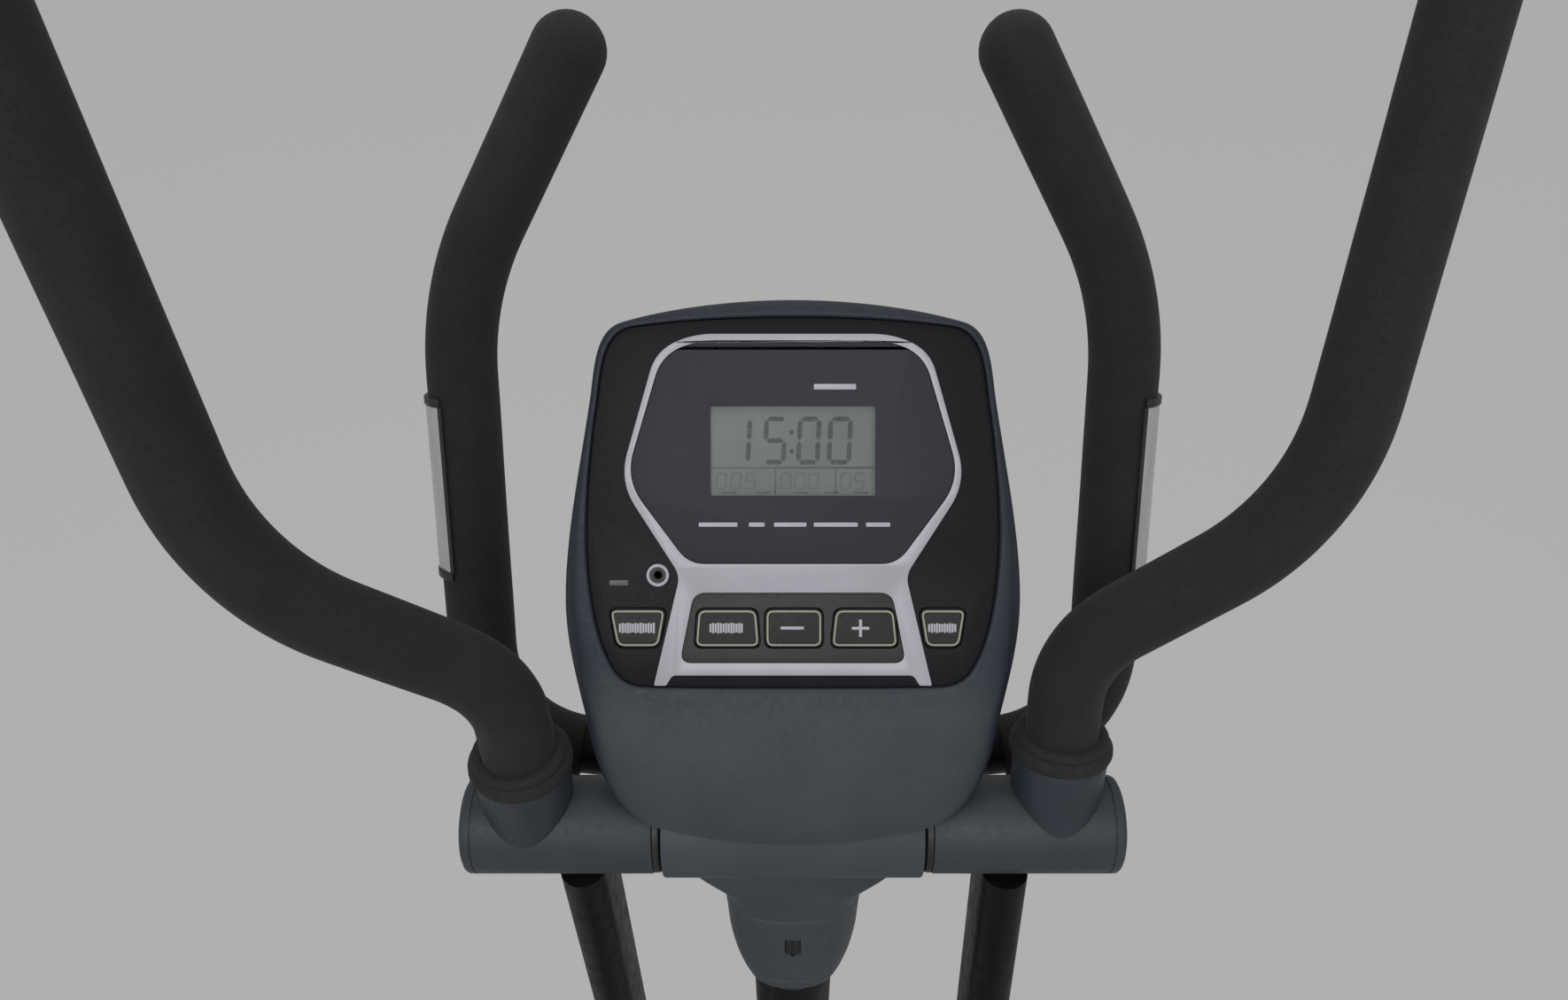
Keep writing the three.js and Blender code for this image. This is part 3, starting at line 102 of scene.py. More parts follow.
def bezier_outline(start, curves, steps=14):
    """A closed outline of curves on one side of the middle line, and their mirror image."""
    half = [start]
    here = Vector(start)
    for control_1, control_2, end in curves:
        p1, p2, p3 = Vector(control_1), Vector(control_2), Vector(end)
        for k in range(1, steps + 1):
            t = k / steps
            s = 1 - t
            at = s ** 3 * here + 3 * s * s * t * p1 + 3 * s * t * t * p2 + t ** 3 * p3
            half.append((at.x, at.y))
        here = p3
    return half + [(-a, b) for a, b in reversed(half[1:-1])]


def rounded(corners, radius, steps=6):
    """A polygon with rounded corners; a corner may give its own size as a third number."""
    points = []
    count = len(corners)
    for i, corner in enumerate(corners):
        here = Vector(corner[:2])
        size = corner[2] if len(corner) > 2 else radius
        before = Vector(corners[i - 1][:2])
        after = Vector(corners[(i + 1) % count][:2])
        start = here + (before - here).normalized() * size
        end = here + (after - here).normalized() * size
        for k in range(steps + 1):
            t = k / steps
            at = (1 - t) ** 2 * start + 2 * t * (1 - t) * here + t * t * end
            points.append((at.x, at.y))
    return points


def rectangle(a, b, radius, steps=6):
    return rounded([(a[0], b[0]), (a[1], b[0]), (a[1], b[1]), (a[0], b[1])], radius, steps)


def turns(count):
    """Evenly spaced angles of a full turn."""
    return [2 * math.pi * k / count for k in range(count)]


def polar(radius, turn, centre=(0, 0)):
    return centre[0] + radius * math.cos(turn), centre[1] + radius * math.sin(turn)


def circle(radius, count=48, centre=(0, 0)):
    return [polar(radius, turn, centre) for turn in turns(count)]


def spun(points, turn, centre):
    """An outline turned about its origin and carried to a centre."""
    c, s = math.cos(turn), math.sin(turn)
    return [(centre[0] + a * c - b * s, centre[1] + a * s + b * c) for a, b in points]


def stadium(radius, half_length, steps=12):
    """Two half circles whose far points are half_length from the middle, along b."""
    points = []
    for top, first in ((1, 0), (-1, math.pi)):
        middle = (0, top * (half_length - radius))
        points += [polar(radius, first + math.pi * k / steps, middle) for k in range(steps + 1)]
    return points


def wrapped(centre_1, radius_1, centre_2, radius_2, steps=40):
    """The outline that a tight band makes round two circles."""
    a, b = Vector(centre_1), Vector(centre_2)
    along = math.atan2(b.y - a.y, b.x - a.x)
    spread = math.acos((radius_1 - radius_2) / (b - a).length)
    points = []
    for centre, radius, first, last in (
        (a, radius_1, along + spread, along - spread + 2 * math.pi),
        (b, radius_2, along - spread, along + spread),
    ):
        for k in range(steps + 1):
            points.append(polar(radius, first + (last - first) * k / steps, centre))
    return points


def area(points):
    pairs = zip(points, points[1:] + points[:1])
    return sum(a[0] * b[1] - b[0] * a[1] for a, b in pairs) / 2


def inset(points, distance):
    """Moves every point of an outline inwards, or outwards by a negative distance."""
    if not distance:
        return list(points)
    inward = 1 if area(points) > 0 else -1
    moved = []
    count = len(points)
    for i, (a, b) in enumerate(points):
        before = Vector((a, b)) - Vector(points[i - 1])
        after = Vector(points[(i + 1) % count]) - Vector((a, b))
        if before.length < 1e-6:
            before = after
        if after.length < 1e-6:
            after = before
        normal = before.normalized().orthogonal() + after.normalized().orthogonal()
        normal = normal.normalized() * inward
        moved.append((a + normal.x * distance, b + normal.y * distance))
    return moved


def by_rays(points, centre, count=360):
    """The outline's points on evenly turned rays from a centre it is star-shaped round."""
    middle = Vector(centre)
    found = []
    edges = list(zip(points, points[1:] + points[:1]))
    for turn in turns(count):
        ray = Vector(polar(1, turn))
        best = 0
        for first, second in edges:
            a, b = Vector(first) - middle, Vector(second) - middle
            edge = b - a
            cross = ray.x * edge.y - ray.y * edge.x
            if abs(cross) < 1e-12:
                continue
            distance = (a.x * edge.y - a.y * edge.x) / cross
            share = (a.x * ray.y - a.y * ray.x) / cross
            if -1e-9 <= share <= 1 + 1e-9 and distance > best:
                best = distance
        found.append((middle.x + ray.x * best, middle.y + ray.y * best))
    return found


def between(outline_1, outline_2, share):
    return [
        (a[0] + (b[0] - a[0]) * share, a[1] + (b[1] - a[1]) * share)
        for a, b in zip(outline_1, outline_2)
    ]


# ---- Shapes: (points, faces) ----

PUT = {
    "x": lambda a, b, depth: Vector((depth, a, b)),
    "y": lambda a, b, depth: Vector((a, depth, b)),
    "z": lambda a, b, depth: Vector((a, b, depth)),
}


def loft(rings, looped=False):
    """A skin through rings of equally many points, closed by flat ends or back to its start."""
    count = len(rings[0])
    points = [point for ring in rings for point in ring]
    faces = []
    last_ring = len(rings) if looped else len(rings) - 1
    for i in range(last_ring):
        base = i * count
        above = ((i + 1) % len(rings)) * count
        for k in range(count):
            following = (k + 1) % count
            faces.append((base + k, base + following, above + following, above + k))
    if not looped:
        top = (len(rings) - 1) * count
        faces.append(tuple(reversed(range(count))))
        faces.append(tuple(range(top, top + count)))
    return points, faces


def slab(outline, steps, axis="y"):
    """An outline carried through (inset, depth) steps along an axis."""
    put = PUT[axis]
    return loft([[put(a, b, depth) for a, b in inset(outline, amount)] for amount, depth in steps])


def plate(outline, low, high, edge=0.6, axis="y"):
    """A slab whose two rims are rounded."""
    soft = edge * 0.3
    return slab(outline, [
        (edge, low), (soft, low + soft), (0, low + edge),
        (0, high - edge), (soft, high - soft), (edge, high),
    ], axis)


def revolve(profile, axis="x", centre=(0, 0), sides=64, looped=False):
    """Turns a list of (radius, distance along the axis) about an axis line. A profile that
    reaches the axis stops 0.2 mm from it, so that no face is pinched to a point."""
    put = PUT[axis]
    rings = []
    for radius, along in profile:
        rings.append([put(a, b, along) for a, b in circle(max(radius, 0.01), sides, centre)])
    return loft(rings, looped)


def rod(low, high, radius, axis="x", centre=(0, 0), edge=1.0, sides=48):
    soft = edge * 0.3
    return revolve([
        (radius - edge, low), (radius - soft, low + soft), (radius, low + edge),
        (radius, high - edge), (radius - soft, high - soft), (radius - edge, high),
    ], axis, centre, sides)


def block(a, b, c):
    """A plain box, for cutting."""
    return slab([(a[0], c[0]), (a[1], c[0]), (a[1], c[1]), (a[0], c[1])], [(0, b[0]), (0, b[1])])


def merged(*shapes):
    points = []
    faces = []
    for more_points, more_faces in shapes:
        start = len(points)
        points.extend(more_points)
        faces.extend(tuple(start + i for i in face) for face in more_faces)
    return points, faces


def moved(shape, matrix):
    return [matrix @ Vector(point) for point in shape[0]], shape[1]


def for_side(shape, side):
    """A shape made for the right-hand side, mirrored for the left."""
    if side > 0:
        return shape
    return moved(shape, Matrix.Scale(-1, 4, (1, 0, 0)))


def lengths_along(line):
    """The distance walked along a line at each of its points."""
    lengths = [0]
    for a, b in zip(line, line[1:]):
        lengths.append(lengths[-1] + (b - a).length)
    return lengths


def resampled(line, spacing):
    """Points at even distances along a line, its ends kept."""
    lengths = lengths_along(line)
    count = max(1, round(lengths[-1] / spacing))
    points = []
    i = 0
    for k in range(count + 1):
        goal = lengths[-1] * k / count
        while i < len(line) - 2 and lengths[i + 1] < goal:
            i += 1
        share = (goal - lengths[i]) / (lengths[i + 1] - lengths[i])
        points.append(line[i].lerp(line[i + 1], share))
    return points


def bent(corners, bend_radii, spacing=4.0, arc_steps=16):
    """The centre line of a bent tube: straight runs joined by arcs."""
    corners = [Vector(corner) for corner in corners]
    line = [corners[0]]
    for i, bend in enumerate(bend_radii, 1):
        back = (corners[i - 1] - corners[i]).normalized()
        ahead = (corners[i + 1] - corners[i]).normalized()
        half = (math.pi - back.angle(ahead)) / 2
        reach = bend * math.tan(half)
        centre = corners[i] + (back + ahead).normalized() * (bend / math.cos(half))
        start = corners[i] + back * reach - centre
        end = corners[i] + ahead * reach - centre
        axis = start.cross(end).normalized()
        for k in range(arc_steps + 1):
            line.append(centre + Matrix.Rotation(2 * half * k / arc_steps, 3, axis) @ start)
    line.append(corners[-1])
    return resampled(line, spacing)


def cut_line(line, start, end_gap):
    """The part of a line from a distance past its start to a distance before its end."""
    lengths = lengths_along(line)
    high = lengths[-1] - end_gap
    kept = []
    for i in range(1, len(line)):
        for goal in (start, high):
            if lengths[i - 1] <= goal < lengths[i]:
                share = (goal - lengths[i - 1]) / (lengths[i] - lengths[i - 1])
                kept.append((goal, line[i - 1].lerp(line[i], share)))
        if start + 0.5 < lengths[i] < high - 0.5:
            kept.append((lengths[i], line[i]))
    return [point for _, point in sorted(kept, key=lambda pair: pair[0])]


def sides_along(line):
    """Two side vectors at each point of a line, turned as little as possible."""
    tangents = []
    for i in range(len(line)):
        before = line[max(i - 1, 0)]
        after = line[min(i + 1, len(line) - 1)]
        tangents.append((after - before).normalized())
    side = (Vector((0, 1, 0)) - tangents[0] * tangents[0].y).normalized()
    found = []
    for i, tangent in enumerate(tangents):
        if i:
            side = tangents[i - 1].rotation_difference(tangent) @ side
        found.append((side, tangent.cross(side)))
    return found


def sweep(line, radius_at, count):
    """A round section along a line; radius_at(distance, turn) gives its radius."""
    rings = []
    for point, walked, (side, up) in zip(line, lengths_along(line), sides_along(line)):
        ring = []
        for turn in turns(count):
            radius = radius_at(walked, turn)
            ring.append(point + side * radius * math.cos(turn) + up * radius * math.sin(turn))
        rings.append(ring)
    return loft(rings)


def weld_bead(count, spot_at, radius, wave=0.16, pitch=1.5):
    """A wavy bead of weld on a closed seam; spot_at(cosine, sine) gives the seam's points."""
    seam = [Vector(spot_at(math.cos(turn), math.sin(turn))) for turn in turns(count)]
    return sweep(seam + seam[:1],
                 lambda walked, turn: radius * (1 + wave * math.sin(walked * pitch)), 10)


def squared(share, power):
    """A cosine or sine pushed outwards, which makes a rounded rectangle of an ellipse."""
    return math.copysign(abs(share) ** power, share)


def in_scene(name, data):
    thing = bpy.data.objects.new(name, data)
    bpy.context.scene.collection.objects.link(thing)
    return thing


def temporary(shape):
    mesh = bpy.data.meshes.new("temporary")
    mesh.from_pydata([tuple(point) for point in shape[0]], [], shape[1])
    clean(mesh)
    return in_scene("temporary", mesh)


def clean(mesh, weld=1e-4):
    """Welds double points and turns every face outwards."""
    body = bmesh.new()
    body.from_mesh(mesh)
    bmesh.ops.remove_doubles(body, verts=body.verts, dist=weld)
    bmesh.ops.recalc_face_normals(body, faces=body.faces)
    body.to_mesh(mesh)
    body.free()


def combine(operation, base, *others):
    """A boolean of closed shapes: DIFFERENCE, UNION or INTERSECT."""
    host = temporary(base)
    tools = [temporary(other) for other in others]
    for tool in tools:
        modifier = host.modifiers.new("combine", "BOOLEAN")
        modifier.operation = operation
        modifier.solver = "MANIFOLD"
        modifier.object = tool
    bpy.context.view_layer.update()
    evaluated = host.evaluated_get(bpy.context.evaluated_depsgraph_get())
    mesh = evaluated.to_mesh()
    points = [vertex.co.copy() for vertex in mesh.vertices]
    faces = [tuple(polygon.vertices) for polygon in mesh.polygons]
    evaluated.to_mesh_clear()
    for thing in (host, *tools):
        data = thing.data
        bpy.data.objects.remove(thing)
        bpy.data.meshes.remove(data)
    return points, faces


def minus(base, *others):
    return combine("DIFFERENCE", base, *others)


def plus(base, *others):
    return combine("UNION", base, *others)


# ---- Materials ----


def linear(red, green, blue):
    """Screen colour, 0 to 255, to the shader's linear colour."""
    values = []
    for value in (red, green, blue):
        share = value / 255
        values.append(share / 12.92 if share <= 0.04045 else ((share + 0.055) / 1.055) ** 2.4)
    return (*values, 1)


NOISE_LOW = 0.3       # most of a noise's values lie between these two
NOISE_HIGH = 0.7
WORN_GAIN = 2.2       # worn edges are lighter by this factor and this much more
WORN_LIFT = 0.02
WORN_FROM = 0.52      # pointiness at which the wear begins and is full
WORN_FULL = 0.62
SIDE_SHADE_FROM = 0.25      # share of a face's normal that points sideways, from which it takes the painted shade colour, and at which it has it in full
SIDE_SHADE_FULL = 0.8       # side colour, and at which it has it in full
BRUSHED = (1, 1, 0.04)        # stretches the grain along Z
ROUGH_PATCH = 6       # patches of even roughness are this many grains wide


def toned(colour, factor, lift=0.0):
    return (*[min(1, c * factor + lift) for c in colour[:3]], 1)


def finish(name, colour, roughness, metallic=0.0, mottle=0.10, mottle_size=30.0, grain=0.4,
           grain_depth=0.02, rough_spread=0.08, sheen=0.0, wear=0.0, pits=0.0, brushed=False,
           specular=0.5, side=None, above=None):
    """A procedural finish. Sizes are in millimetres: mottling of the colour, and the grain's
    width and depth. pits adds foam pores, brushed draws the grain along Z, wear lightens edges,
    side is a darker colour of painted shade that faces take as they turn away to the left or
    right, and that all of them take above the second of two heights, blending in from the first."""
    material = bpy.data.materials.new(name)
    material.use_nodes = True
    nodes = material.node_tree.nodes
    spot = nodes.new("ShaderNodeTexCoord").outputs["Object"]

    def fill(node, values):
        """Sets inputs by name, or links them where the value is another node's output."""
        for key, value in values.items():
            if isinstance(value, bpy.types.NodeSocket):
                material.node_tree.links.new(value, node.inputs[key])
            else:
                node.inputs[key].default_value = value

    def add(kind, output, values, **settings):
        """A new node's output."""
        node = nodes.new("ShaderNode" + kind)
        for setting, value in settings.items():
            setattr(node, setting, value)
        fill(node, values)
        return node.outputs[output]

    def noise_of(size, detail, stretch=(1, 1, 1)):
        vector = add("Mapping", "Vector", {"Scale": stretch, "Vector": spot})
        return add("TexNoise", "Fac", {"Scale": METRE / size, "Detail": detail, "Vector": vector})

    def ranged(value, low, high, to_low=0, to_high=1, **settings):
        return add("MapRange", "Result", {"From Min": low, "From Max": high, "To Min": to_low,
                                          "To Max": to_high, "Value": value}, **settings)

    def blended(share, below, above_it):
        return add("Mix", "Result", {"B": above_it, "Factor": share, "A": below},
                   data_type="RGBA")

    base = linear(*colour)
    ramp = nodes.new("ShaderNodeValToRGB")
    low_stop, high_stop = ramp.color_ramp.elements
    low_stop.position = NOISE_LOW
    high_stop.position = NOISE_HIGH
    low_stop.color = toned(base, 1 - mottle)
    high_stop.color = toned(base, 1 + mottle)
    fill(ramp, {"Fac": noise_of(mottle_size, 4)})
    tint = ramp.outputs["Color"]
    if wear:
        pointed = nodes.new("ShaderNodeNewGeometry").outputs["Pointiness"]
        share = ranged(pointed, WORN_FROM, WORN_FULL, to_high=wear)
        tint = blended(share, tint, toned(base, WORN_GAIN, WORN_LIFT))
    # Painted shade: faces turned to the left or right, and every face above the second height,
    # darken to the side colour.
    if side:
        normal = nodes.new("ShaderNodeNewGeometry").outputs["Normal"]
        across = add("SeparateXYZ", "X", {"Vector": normal})
        sideways = add("Math", "Value", {0: across}, operation="ABSOLUTE")
        share = ranged(sideways, SIDE_SHADE_FROM, SIDE_SHADE_FULL, interpolation_type="SMOOTHSTEP")
        if above:
            height = add("SeparateXYZ", "Z", {"Vector": spot})
            high_share = ranged(height, above[0] * MM, above[1] * MM)
            share = add("Math", "Value", {0: share, 1: high_share}, operation="MAXIMUM")
        tint = blended(share, tint, linear(*side))
    stretch = BRUSHED if brushed else (1, 1, 1)
    rough = ranged(noise_of(grain * ROUGH_PATCH, 5, stretch), NOISE_LOW, NOISE_HIGH,
                   roughness - rough_spread, roughness + rough_spread)
    normal = add("Bump", "Normal", {"Strength": 1, "Distance": grain_depth * MM,
                                    "Height": noise_of(grain, 3, stretch)})
    if pits:
        cells = add("TexVoronoi", "Distance", {"Scale": METRE / pits, "Vector": spot})
        normal = add("Bump", "Normal", {"Strength": 0.7, "Distance": 2 * grain_depth * MM,
                                        "Height": cells, "Normal": normal})
    fill(nodes["Principled BSDF"], {
        "Metallic": metallic, "Specular IOR Level": specular, "Sheen Weight": sheen,
        "Sheen Roughness": 0.6, "Base Color": tint, "Roughness": rough, "Normal": normal,
    })
    return material


MOULDED = {"grain": 0.5, "grain_depth": 0.016}
SLATE = finish("slate plastic", (50, 55, 59), 0.55, wear=0.2, specular=0.35, **MOULDED)
NECK = finish("slate neck plastic", (60, 65, 70), 0.55, wear=0.2, specular=0.35, **MOULDED)
# Painted shade: the bezel and the back shell darken to a navy colour on faces turned to the left or
# right and above 1243 mm.
BEZEL_PAINTED_SHADE = finish("slate bezel plastic with painted shade", (58, 62, 67), 0.55, wear=0.15, specular=0.3,
               side=(38, 42, 53), above=(1243, 1266), **MOULDED)
NAVY = finish("navy slate plastic", (42, 47, 55), 0.5, wear=0.2, specular=0.4, **MOULDED)
DARK_PLASTIC = finish("black plastic", (25, 26, 27), 0.5, grain=0.6, grain_depth=0.02, wear=0.2)
GLOSS_BLACK = finish("black fascia", (27, 26, 29), 0.45, mottle=0.05, grain=0.3,
                     grain_depth=0.003, rough_spread=0.05, specular=0.12)
KEY_FIELD = finish("key field", (56, 57, 55), 0.5, mottle=0.06, grain=0.3, grain_depth=0.006,
                   specular=0.2)
KEY_TOP = finish("key top", (45, 45, 43), 0.55, mottle=0.06, grain=0.3, grain_depth=0.008,
                 specular=0.2)
KEY_LINE = finish("key outline", (152, 152, 132), 0.5, mottle=0.04, grain=0.3, grain_depth=0.004)
PRINT = finish("pale print", (172, 171, 182), 0.5, mottle=0.04, grain=0.3, grain_depth=0.003)
LENS = finish("smoked window", (54, 53, 60), 0.5, mottle=0.03, mottle_size=60, grain=0.8,
              grain_depth=0.001, rough_spread=0.03, specular=0.12)
GLASS = finish("display", (112, 119, 116), 0.4, mottle=0.04, mottle_size=14, grain=0.3,
               grain_depth=0.002, specular=0.2)
SEGMENT = finish("display segment", (38, 46, 43), 0.4, mottle=0.04, grain=0.3, grain_depth=0.002)
FAINT_SEGMENT = finish("faint display segment", (74, 82, 78), 0.4, mottle=0.05, grain=0.3,
                       grain_depth=0.002)
SILVER = finish("silver line", (168, 167, 175), 0.4, metallic=0.1, specular=0.3, mottle=0.04,
                grain=0.12, grain_depth=0.004)
FOAM = finish("grip foam", (31, 31, 32), 0.85, mottle=0.12, mottle_size=18, grain=0.35,
              grain_depth=0.05, sheen=0.03, pits=0.8, specular=0.3)
PAINT = finish("black powder coat", (10, 10, 11), 0.5, metallic=0.05, mottle=0.08, grain=1.1,
               grain_depth=0.02, wear=0.1, specular=0.15)
STEEL = finish("turned steel", (158, 160, 164), 0.3, metallic=1.0, mottle=0.06, grain=0.25,
               grain_depth=0.004)
PLATE_STEEL = finish("plated pulse strip", (196, 197, 200), 0.28, metallic=0.85, mottle=0.05,
                     grain=0.25, grain_depth=0.004, brushed=True)
IRON = finish("machined cast iron", (88, 88, 90), 0.5, metallic=0.85, mottle=0.12, grain=0.7,
              grain_depth=0.02)
RUBBER = finish("matt rubber", (27, 27, 28), 0.85, mottle=0.12, grain=0.5, grain_depth=0.03)
BOARD = finish("circuit laminate", (36, 82, 58), 0.5, mottle=0.12, mottle_size=6, grain=0.5)
FLOOR = finish("studio floor", (92, 92, 92), 0.95, specular=0.0, mottle=0.01, mottle_size=900,
               grain=3.0, grain_depth=0.01, rough_spread=0.02)


# ---- Pieces ----


def edge_bevel(thing, width, degrees):
    modifier = thing.modifiers.new("edges", "BEVEL")
    modifier.width = width * MM
    modifier.segments = 2
    modifier.limit_method = "ANGLE"
    modifier.angle_limit = math.radians(degrees)


def piece(name, shape, material, place, replaces=(), body="frame", slot=None, angle=40, bevel=0.0,
          soft=None):
    """Makes a visible piece that rides on a body. Edges sharper than angle stay sharp, and bevel
    rounds them."""
    mesh = bpy.data.meshes.new(name)
    mesh.from_pydata([tuple((place @ Vector(point)) * MM) for point in shape[0]], [], shape[1])
    clean(mesh, 1e-7)
    thing = in_scene(name, mesh)
    if bevel:
        edge_bevel(thing, bevel, angle)
        bpy.context.view_layer.update()
        evaluated = thing.evaluated_get(bpy.context.evaluated_depsgraph_get())
        thing.modifiers.clear()
        thing.data = bpy.data.meshes.new_from_object(evaluated)
        thing.data.name = name
    thing.data.polygons.foreach_set("use_smooth", [True] * len(thing.data.polygons))
    thing.data.set_sharp_from_angle(angle=math.radians(angle))
    thing.data.materials.append(material)
    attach(thing, body)
    if replaces:
        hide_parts(*replaces)


def pair(name, shape, material, place, replaces=(), body="frame", **more):
    """The left and the right piece of a shape that is made for the right-hand side. A star in a
    name stands for the side's word, and place may be a dictionary with a place for each side."""
    for word, side in SIDES:
        here = place[word] if isinstance(place, dict) else place
        nodes = [node.replace("*", word) for node in replaces]
        piece(name.replace("*", word), for_side(shape, side), material, here, nodes,
              body.replace("*", word), **more)


# ---- Console ----

FACE_CENTRE = (0, 150)
PANEL_FRONT = 2.5         # depths are measured from the face, into the console
PANEL_BACK = 5.5
LEDGE_DEPTH = 5.9         # of the ledge behind the panel's edge
LEDGE_WIDTH = 4
INNER_DEPTH = 8           # where the space behind the ledge begins
SPLIT_DEPTH = 16          # where the front and the back shell meet
BACK_DEPTH = 46
BACK_MIDDLE = 128         # the back draws in towards this height
SHELL_HALF = (110, 134)   # half width and half height, for drawing the back in
WALL = 3
COVER_RADIUS = 26.5       # of the neck cover's cross tube
CUT_DEPTHS = (-1, 9)      # cuts through the panel and the lens
KEY_LOW = 95
KEY_HIGH = 114
KEYS = (             # name, middle, half width at the top, half width at the bottom
    ("reset", -74.5, 14, 10.5),
    ("mode", -31.5, 14.5, 16),
    ("minus", 0.5, 14, 14),
    ("plus", 34.5, 14.5, 16.5),
    ("recovery", 72, 11.5, 8.5),
)
JACK = (-64.8, 130)
WINDOW_X = (-39.5, 39.5)
WINDOW_Z = (168, 211)

shell_outline = by_rays(bezier_outline((0, -6.7), [
    ((25, -6.7), (48, -3), (66.8, 3)),
    ((86, 9), (95, 30), (98.9, 48)),
    ((103, 70), (110.6, 92), (110.6, 117)),
    ((110.6, 150), (101, 190), (97, 218)),
    ((95, 236), (93, 249), (80.7, 251.7)),
    ((56, 259), (25, 262), (0, 262)),
]), FACE_CENTRE)
panel_outline = by_rays(bezier_outline((0, 75.4), [
    ((25, 75.4), (50, 75.4), (71, 76)),
    ((84, 76.5), (87, 85), (91.3, 95)),
    ((96, 108), (98.8, 128), (98.8, 148.5)),
    ((98.8, 172), (95.5, 200), (93.2, 213)),
    ((91, 230), (90, 246), (76, 248.5)),
    ((50, 252), (25, 253), (0, 253)),
]), FACE_CENTRE)


def face_ring(points, depth):
    return [Vector((a, depth, b)) for a, b in points]


# The console keeps clear of the neck cover's cross tube.
pivot_room = moved(rod(-150, 150, COVER_RADIUS + 2, edge=0.1, sides=64),
                   at_face.inverted() @ at_pivot)

# The bezel rolls over from its sides to the lip round the panel: share of the way in, depth.
BEZEL_ROLL = (
    (0, 11), (0.015, 9), (0.05, 7), (0.11, 5), (0.19, 3.3), (0.28, 2.1), (0.38, 1.2),
    (0.5, 0.5), (0.62, 0.15), (0.75, 0), (0.9, 0),
)
bezel_rings = [face_ring(shell_outline, SPLIT_DEPTH)]
for share, depth in BEZEL_ROLL:
    bezel_rings.append(face_ring(between(shell_outline, panel_outline, share), depth))
for outline, amount, depth in (
    (panel_outline, -0.9, 0.1), (panel_outline, -0.4, 0.5), (panel_outline, -0.1, 1.2),
    (panel_outline, -0.1, LEDGE_DEPTH), (panel_outline, LEDGE_WIDTH, LEDGE_DEPTH),
    (panel_outline, LEDGE_WIDTH, INNER_DEPTH), (shell_outline, WALL, INNER_DEPTH),
    (shell_outline, WALL, SPLIT_DEPTH),
):
    bezel_rings.append(face_ring(inset(outline, amount), depth))
bezel = minus(loft(bezel_rings, looped=True), pivot_room)
piece("console_bezel", bezel, BEZEL_PAINTED_SHADE, at_face, ["console_front_shell"], angle=50)


def back_ring(shrink, depth, wall=0):
    ring = []
    for a, b in inset(shell_outline, wall):
        height = BACK_MIDDLE + (b - BACK_MIDDLE) * (1 - shrink / SHELL_HALF[1])
        ring.append(Vector((a * (1 - shrink / SHELL_HALF[0]), depth, height)))
    return ring


BACK_ROLL = (
    (0, SPLIT_DEPTH + 0.3), (0, 17.5), (0.6, 18.3), (1.5, 20), (4, 24), (8, 30), (12, 35),
    (17, 39.5), (23, 43), (28, 45), (32, 45.9), (36, BACK_DEPTH),
)
back_rings = [back_ring(shrink, depth) for shrink, depth in BACK_ROLL]
back_hollow = loft([
    back_ring(shrink, depth, WALL)
    for shrink, depth in ((2, SPLIT_DEPTH - 1), (4, 24), (14, 34), (30, 42))
])
DOOR_Z = (122, 176)
doorway = block((-32, 32), (40, 48), DOOR_Z)
vents = [block((x - 1.2, x + 1.2), (40, 48), (196, 214)) for x in range(-24, 25, 8)]
back = minus(loft(back_rings), back_hollow, pivot_room, doorway, *vents)
piece("console_back", back, BEZEL_PAINTED_SHADE, at_face, ["console_back_shell"], angle=42)

door_outline = rectangle((-31.5, 31.5), (DOOR_Z[0] + 0.5, DOOR_Z[1] - 0.5), 3)
door = plate(door_outline, 43.4, BACK_DEPTH, 0.5)
thumb = plate(rectangle((-9, 9), (DOOR_Z[1] - 11, DOOR_Z[1] - 5), 2.5), 45.2, 47, 0.4)
ribs = [
    plate(rectangle((-24, 24), (z, z + 1.6), 0.7), 45.6, 46.5, 0.3)
    for z in range(DOOR_Z[0] + 8, DOOR_Z[0] + 36, 6)
]
piece("battery_cover", merged(door, thumb, *ribs), SLATE, at_face, ["battery_door"])

SCREW_PLACES = ((-64, 62), (64, 62), (-62, 222), (62, 222), (-46, 112), (46, 112))
SCREW_PROFILE = ((0.2, 44.6), (3.2, 44.6), (3.3, 46.2), (2.6, 46.9), (0.2, 47.1))
screws = []
for x, z in SCREW_PLACES:
    slots = [block((x - a, x + a), (46.3, 48), (z - b, z + b)) for a, b in ((2, 0.4), (0.4, 2))]
    screws.append(minus(revolve(SCREW_PROFILE, "y", (x, z), 24), *slots))
piece("console_screws", merged(*screws), STEEL, at_face, angle=30)


def key_outline(key, grow=0.0):
    """A key's outline: a four-sided shape with rounded corners, wider at one end."""
    _, middle, top, bottom = key
    return rounded([
        (middle - bottom - grow, KEY_LOW - grow), (middle + bottom + grow, KEY_LOW - grow),
        (middle + top + grow, KEY_HIGH + grow), (middle - top - grow, KEY_HIGH + grow),
    ], 4.5, 8)


lens_outline = rounded([
    (-50, 135.5, 8), (50, 135.5, 8), (80, 176, 14), (62.5, 234.5, 10), (46, 242, 10),
    (-46, 242, 10), (-62.5, 234.5, 10), (-80, 176, 14),
], 8, 10)
window_hole = block(WINDOW_X, CUT_DEPTHS, WINDOW_Z)
key_holes = [plate(key_outline(key, 0.5), *CUT_DEPTHS, 0.01) for key in KEYS]
jack_hole = rod(*CUT_DEPTHS, 5.9, "y", JACK, 0.01)
panel = minus(plate(inset(panel_outline, 0.15), PANEL_FRONT, PANEL_BACK, 0.5),
              window_hole, jack_hole, *key_holes)
piece("fascia", panel, GLOSS_BLACK, at_face, ["keypad_panel"], angle=30)

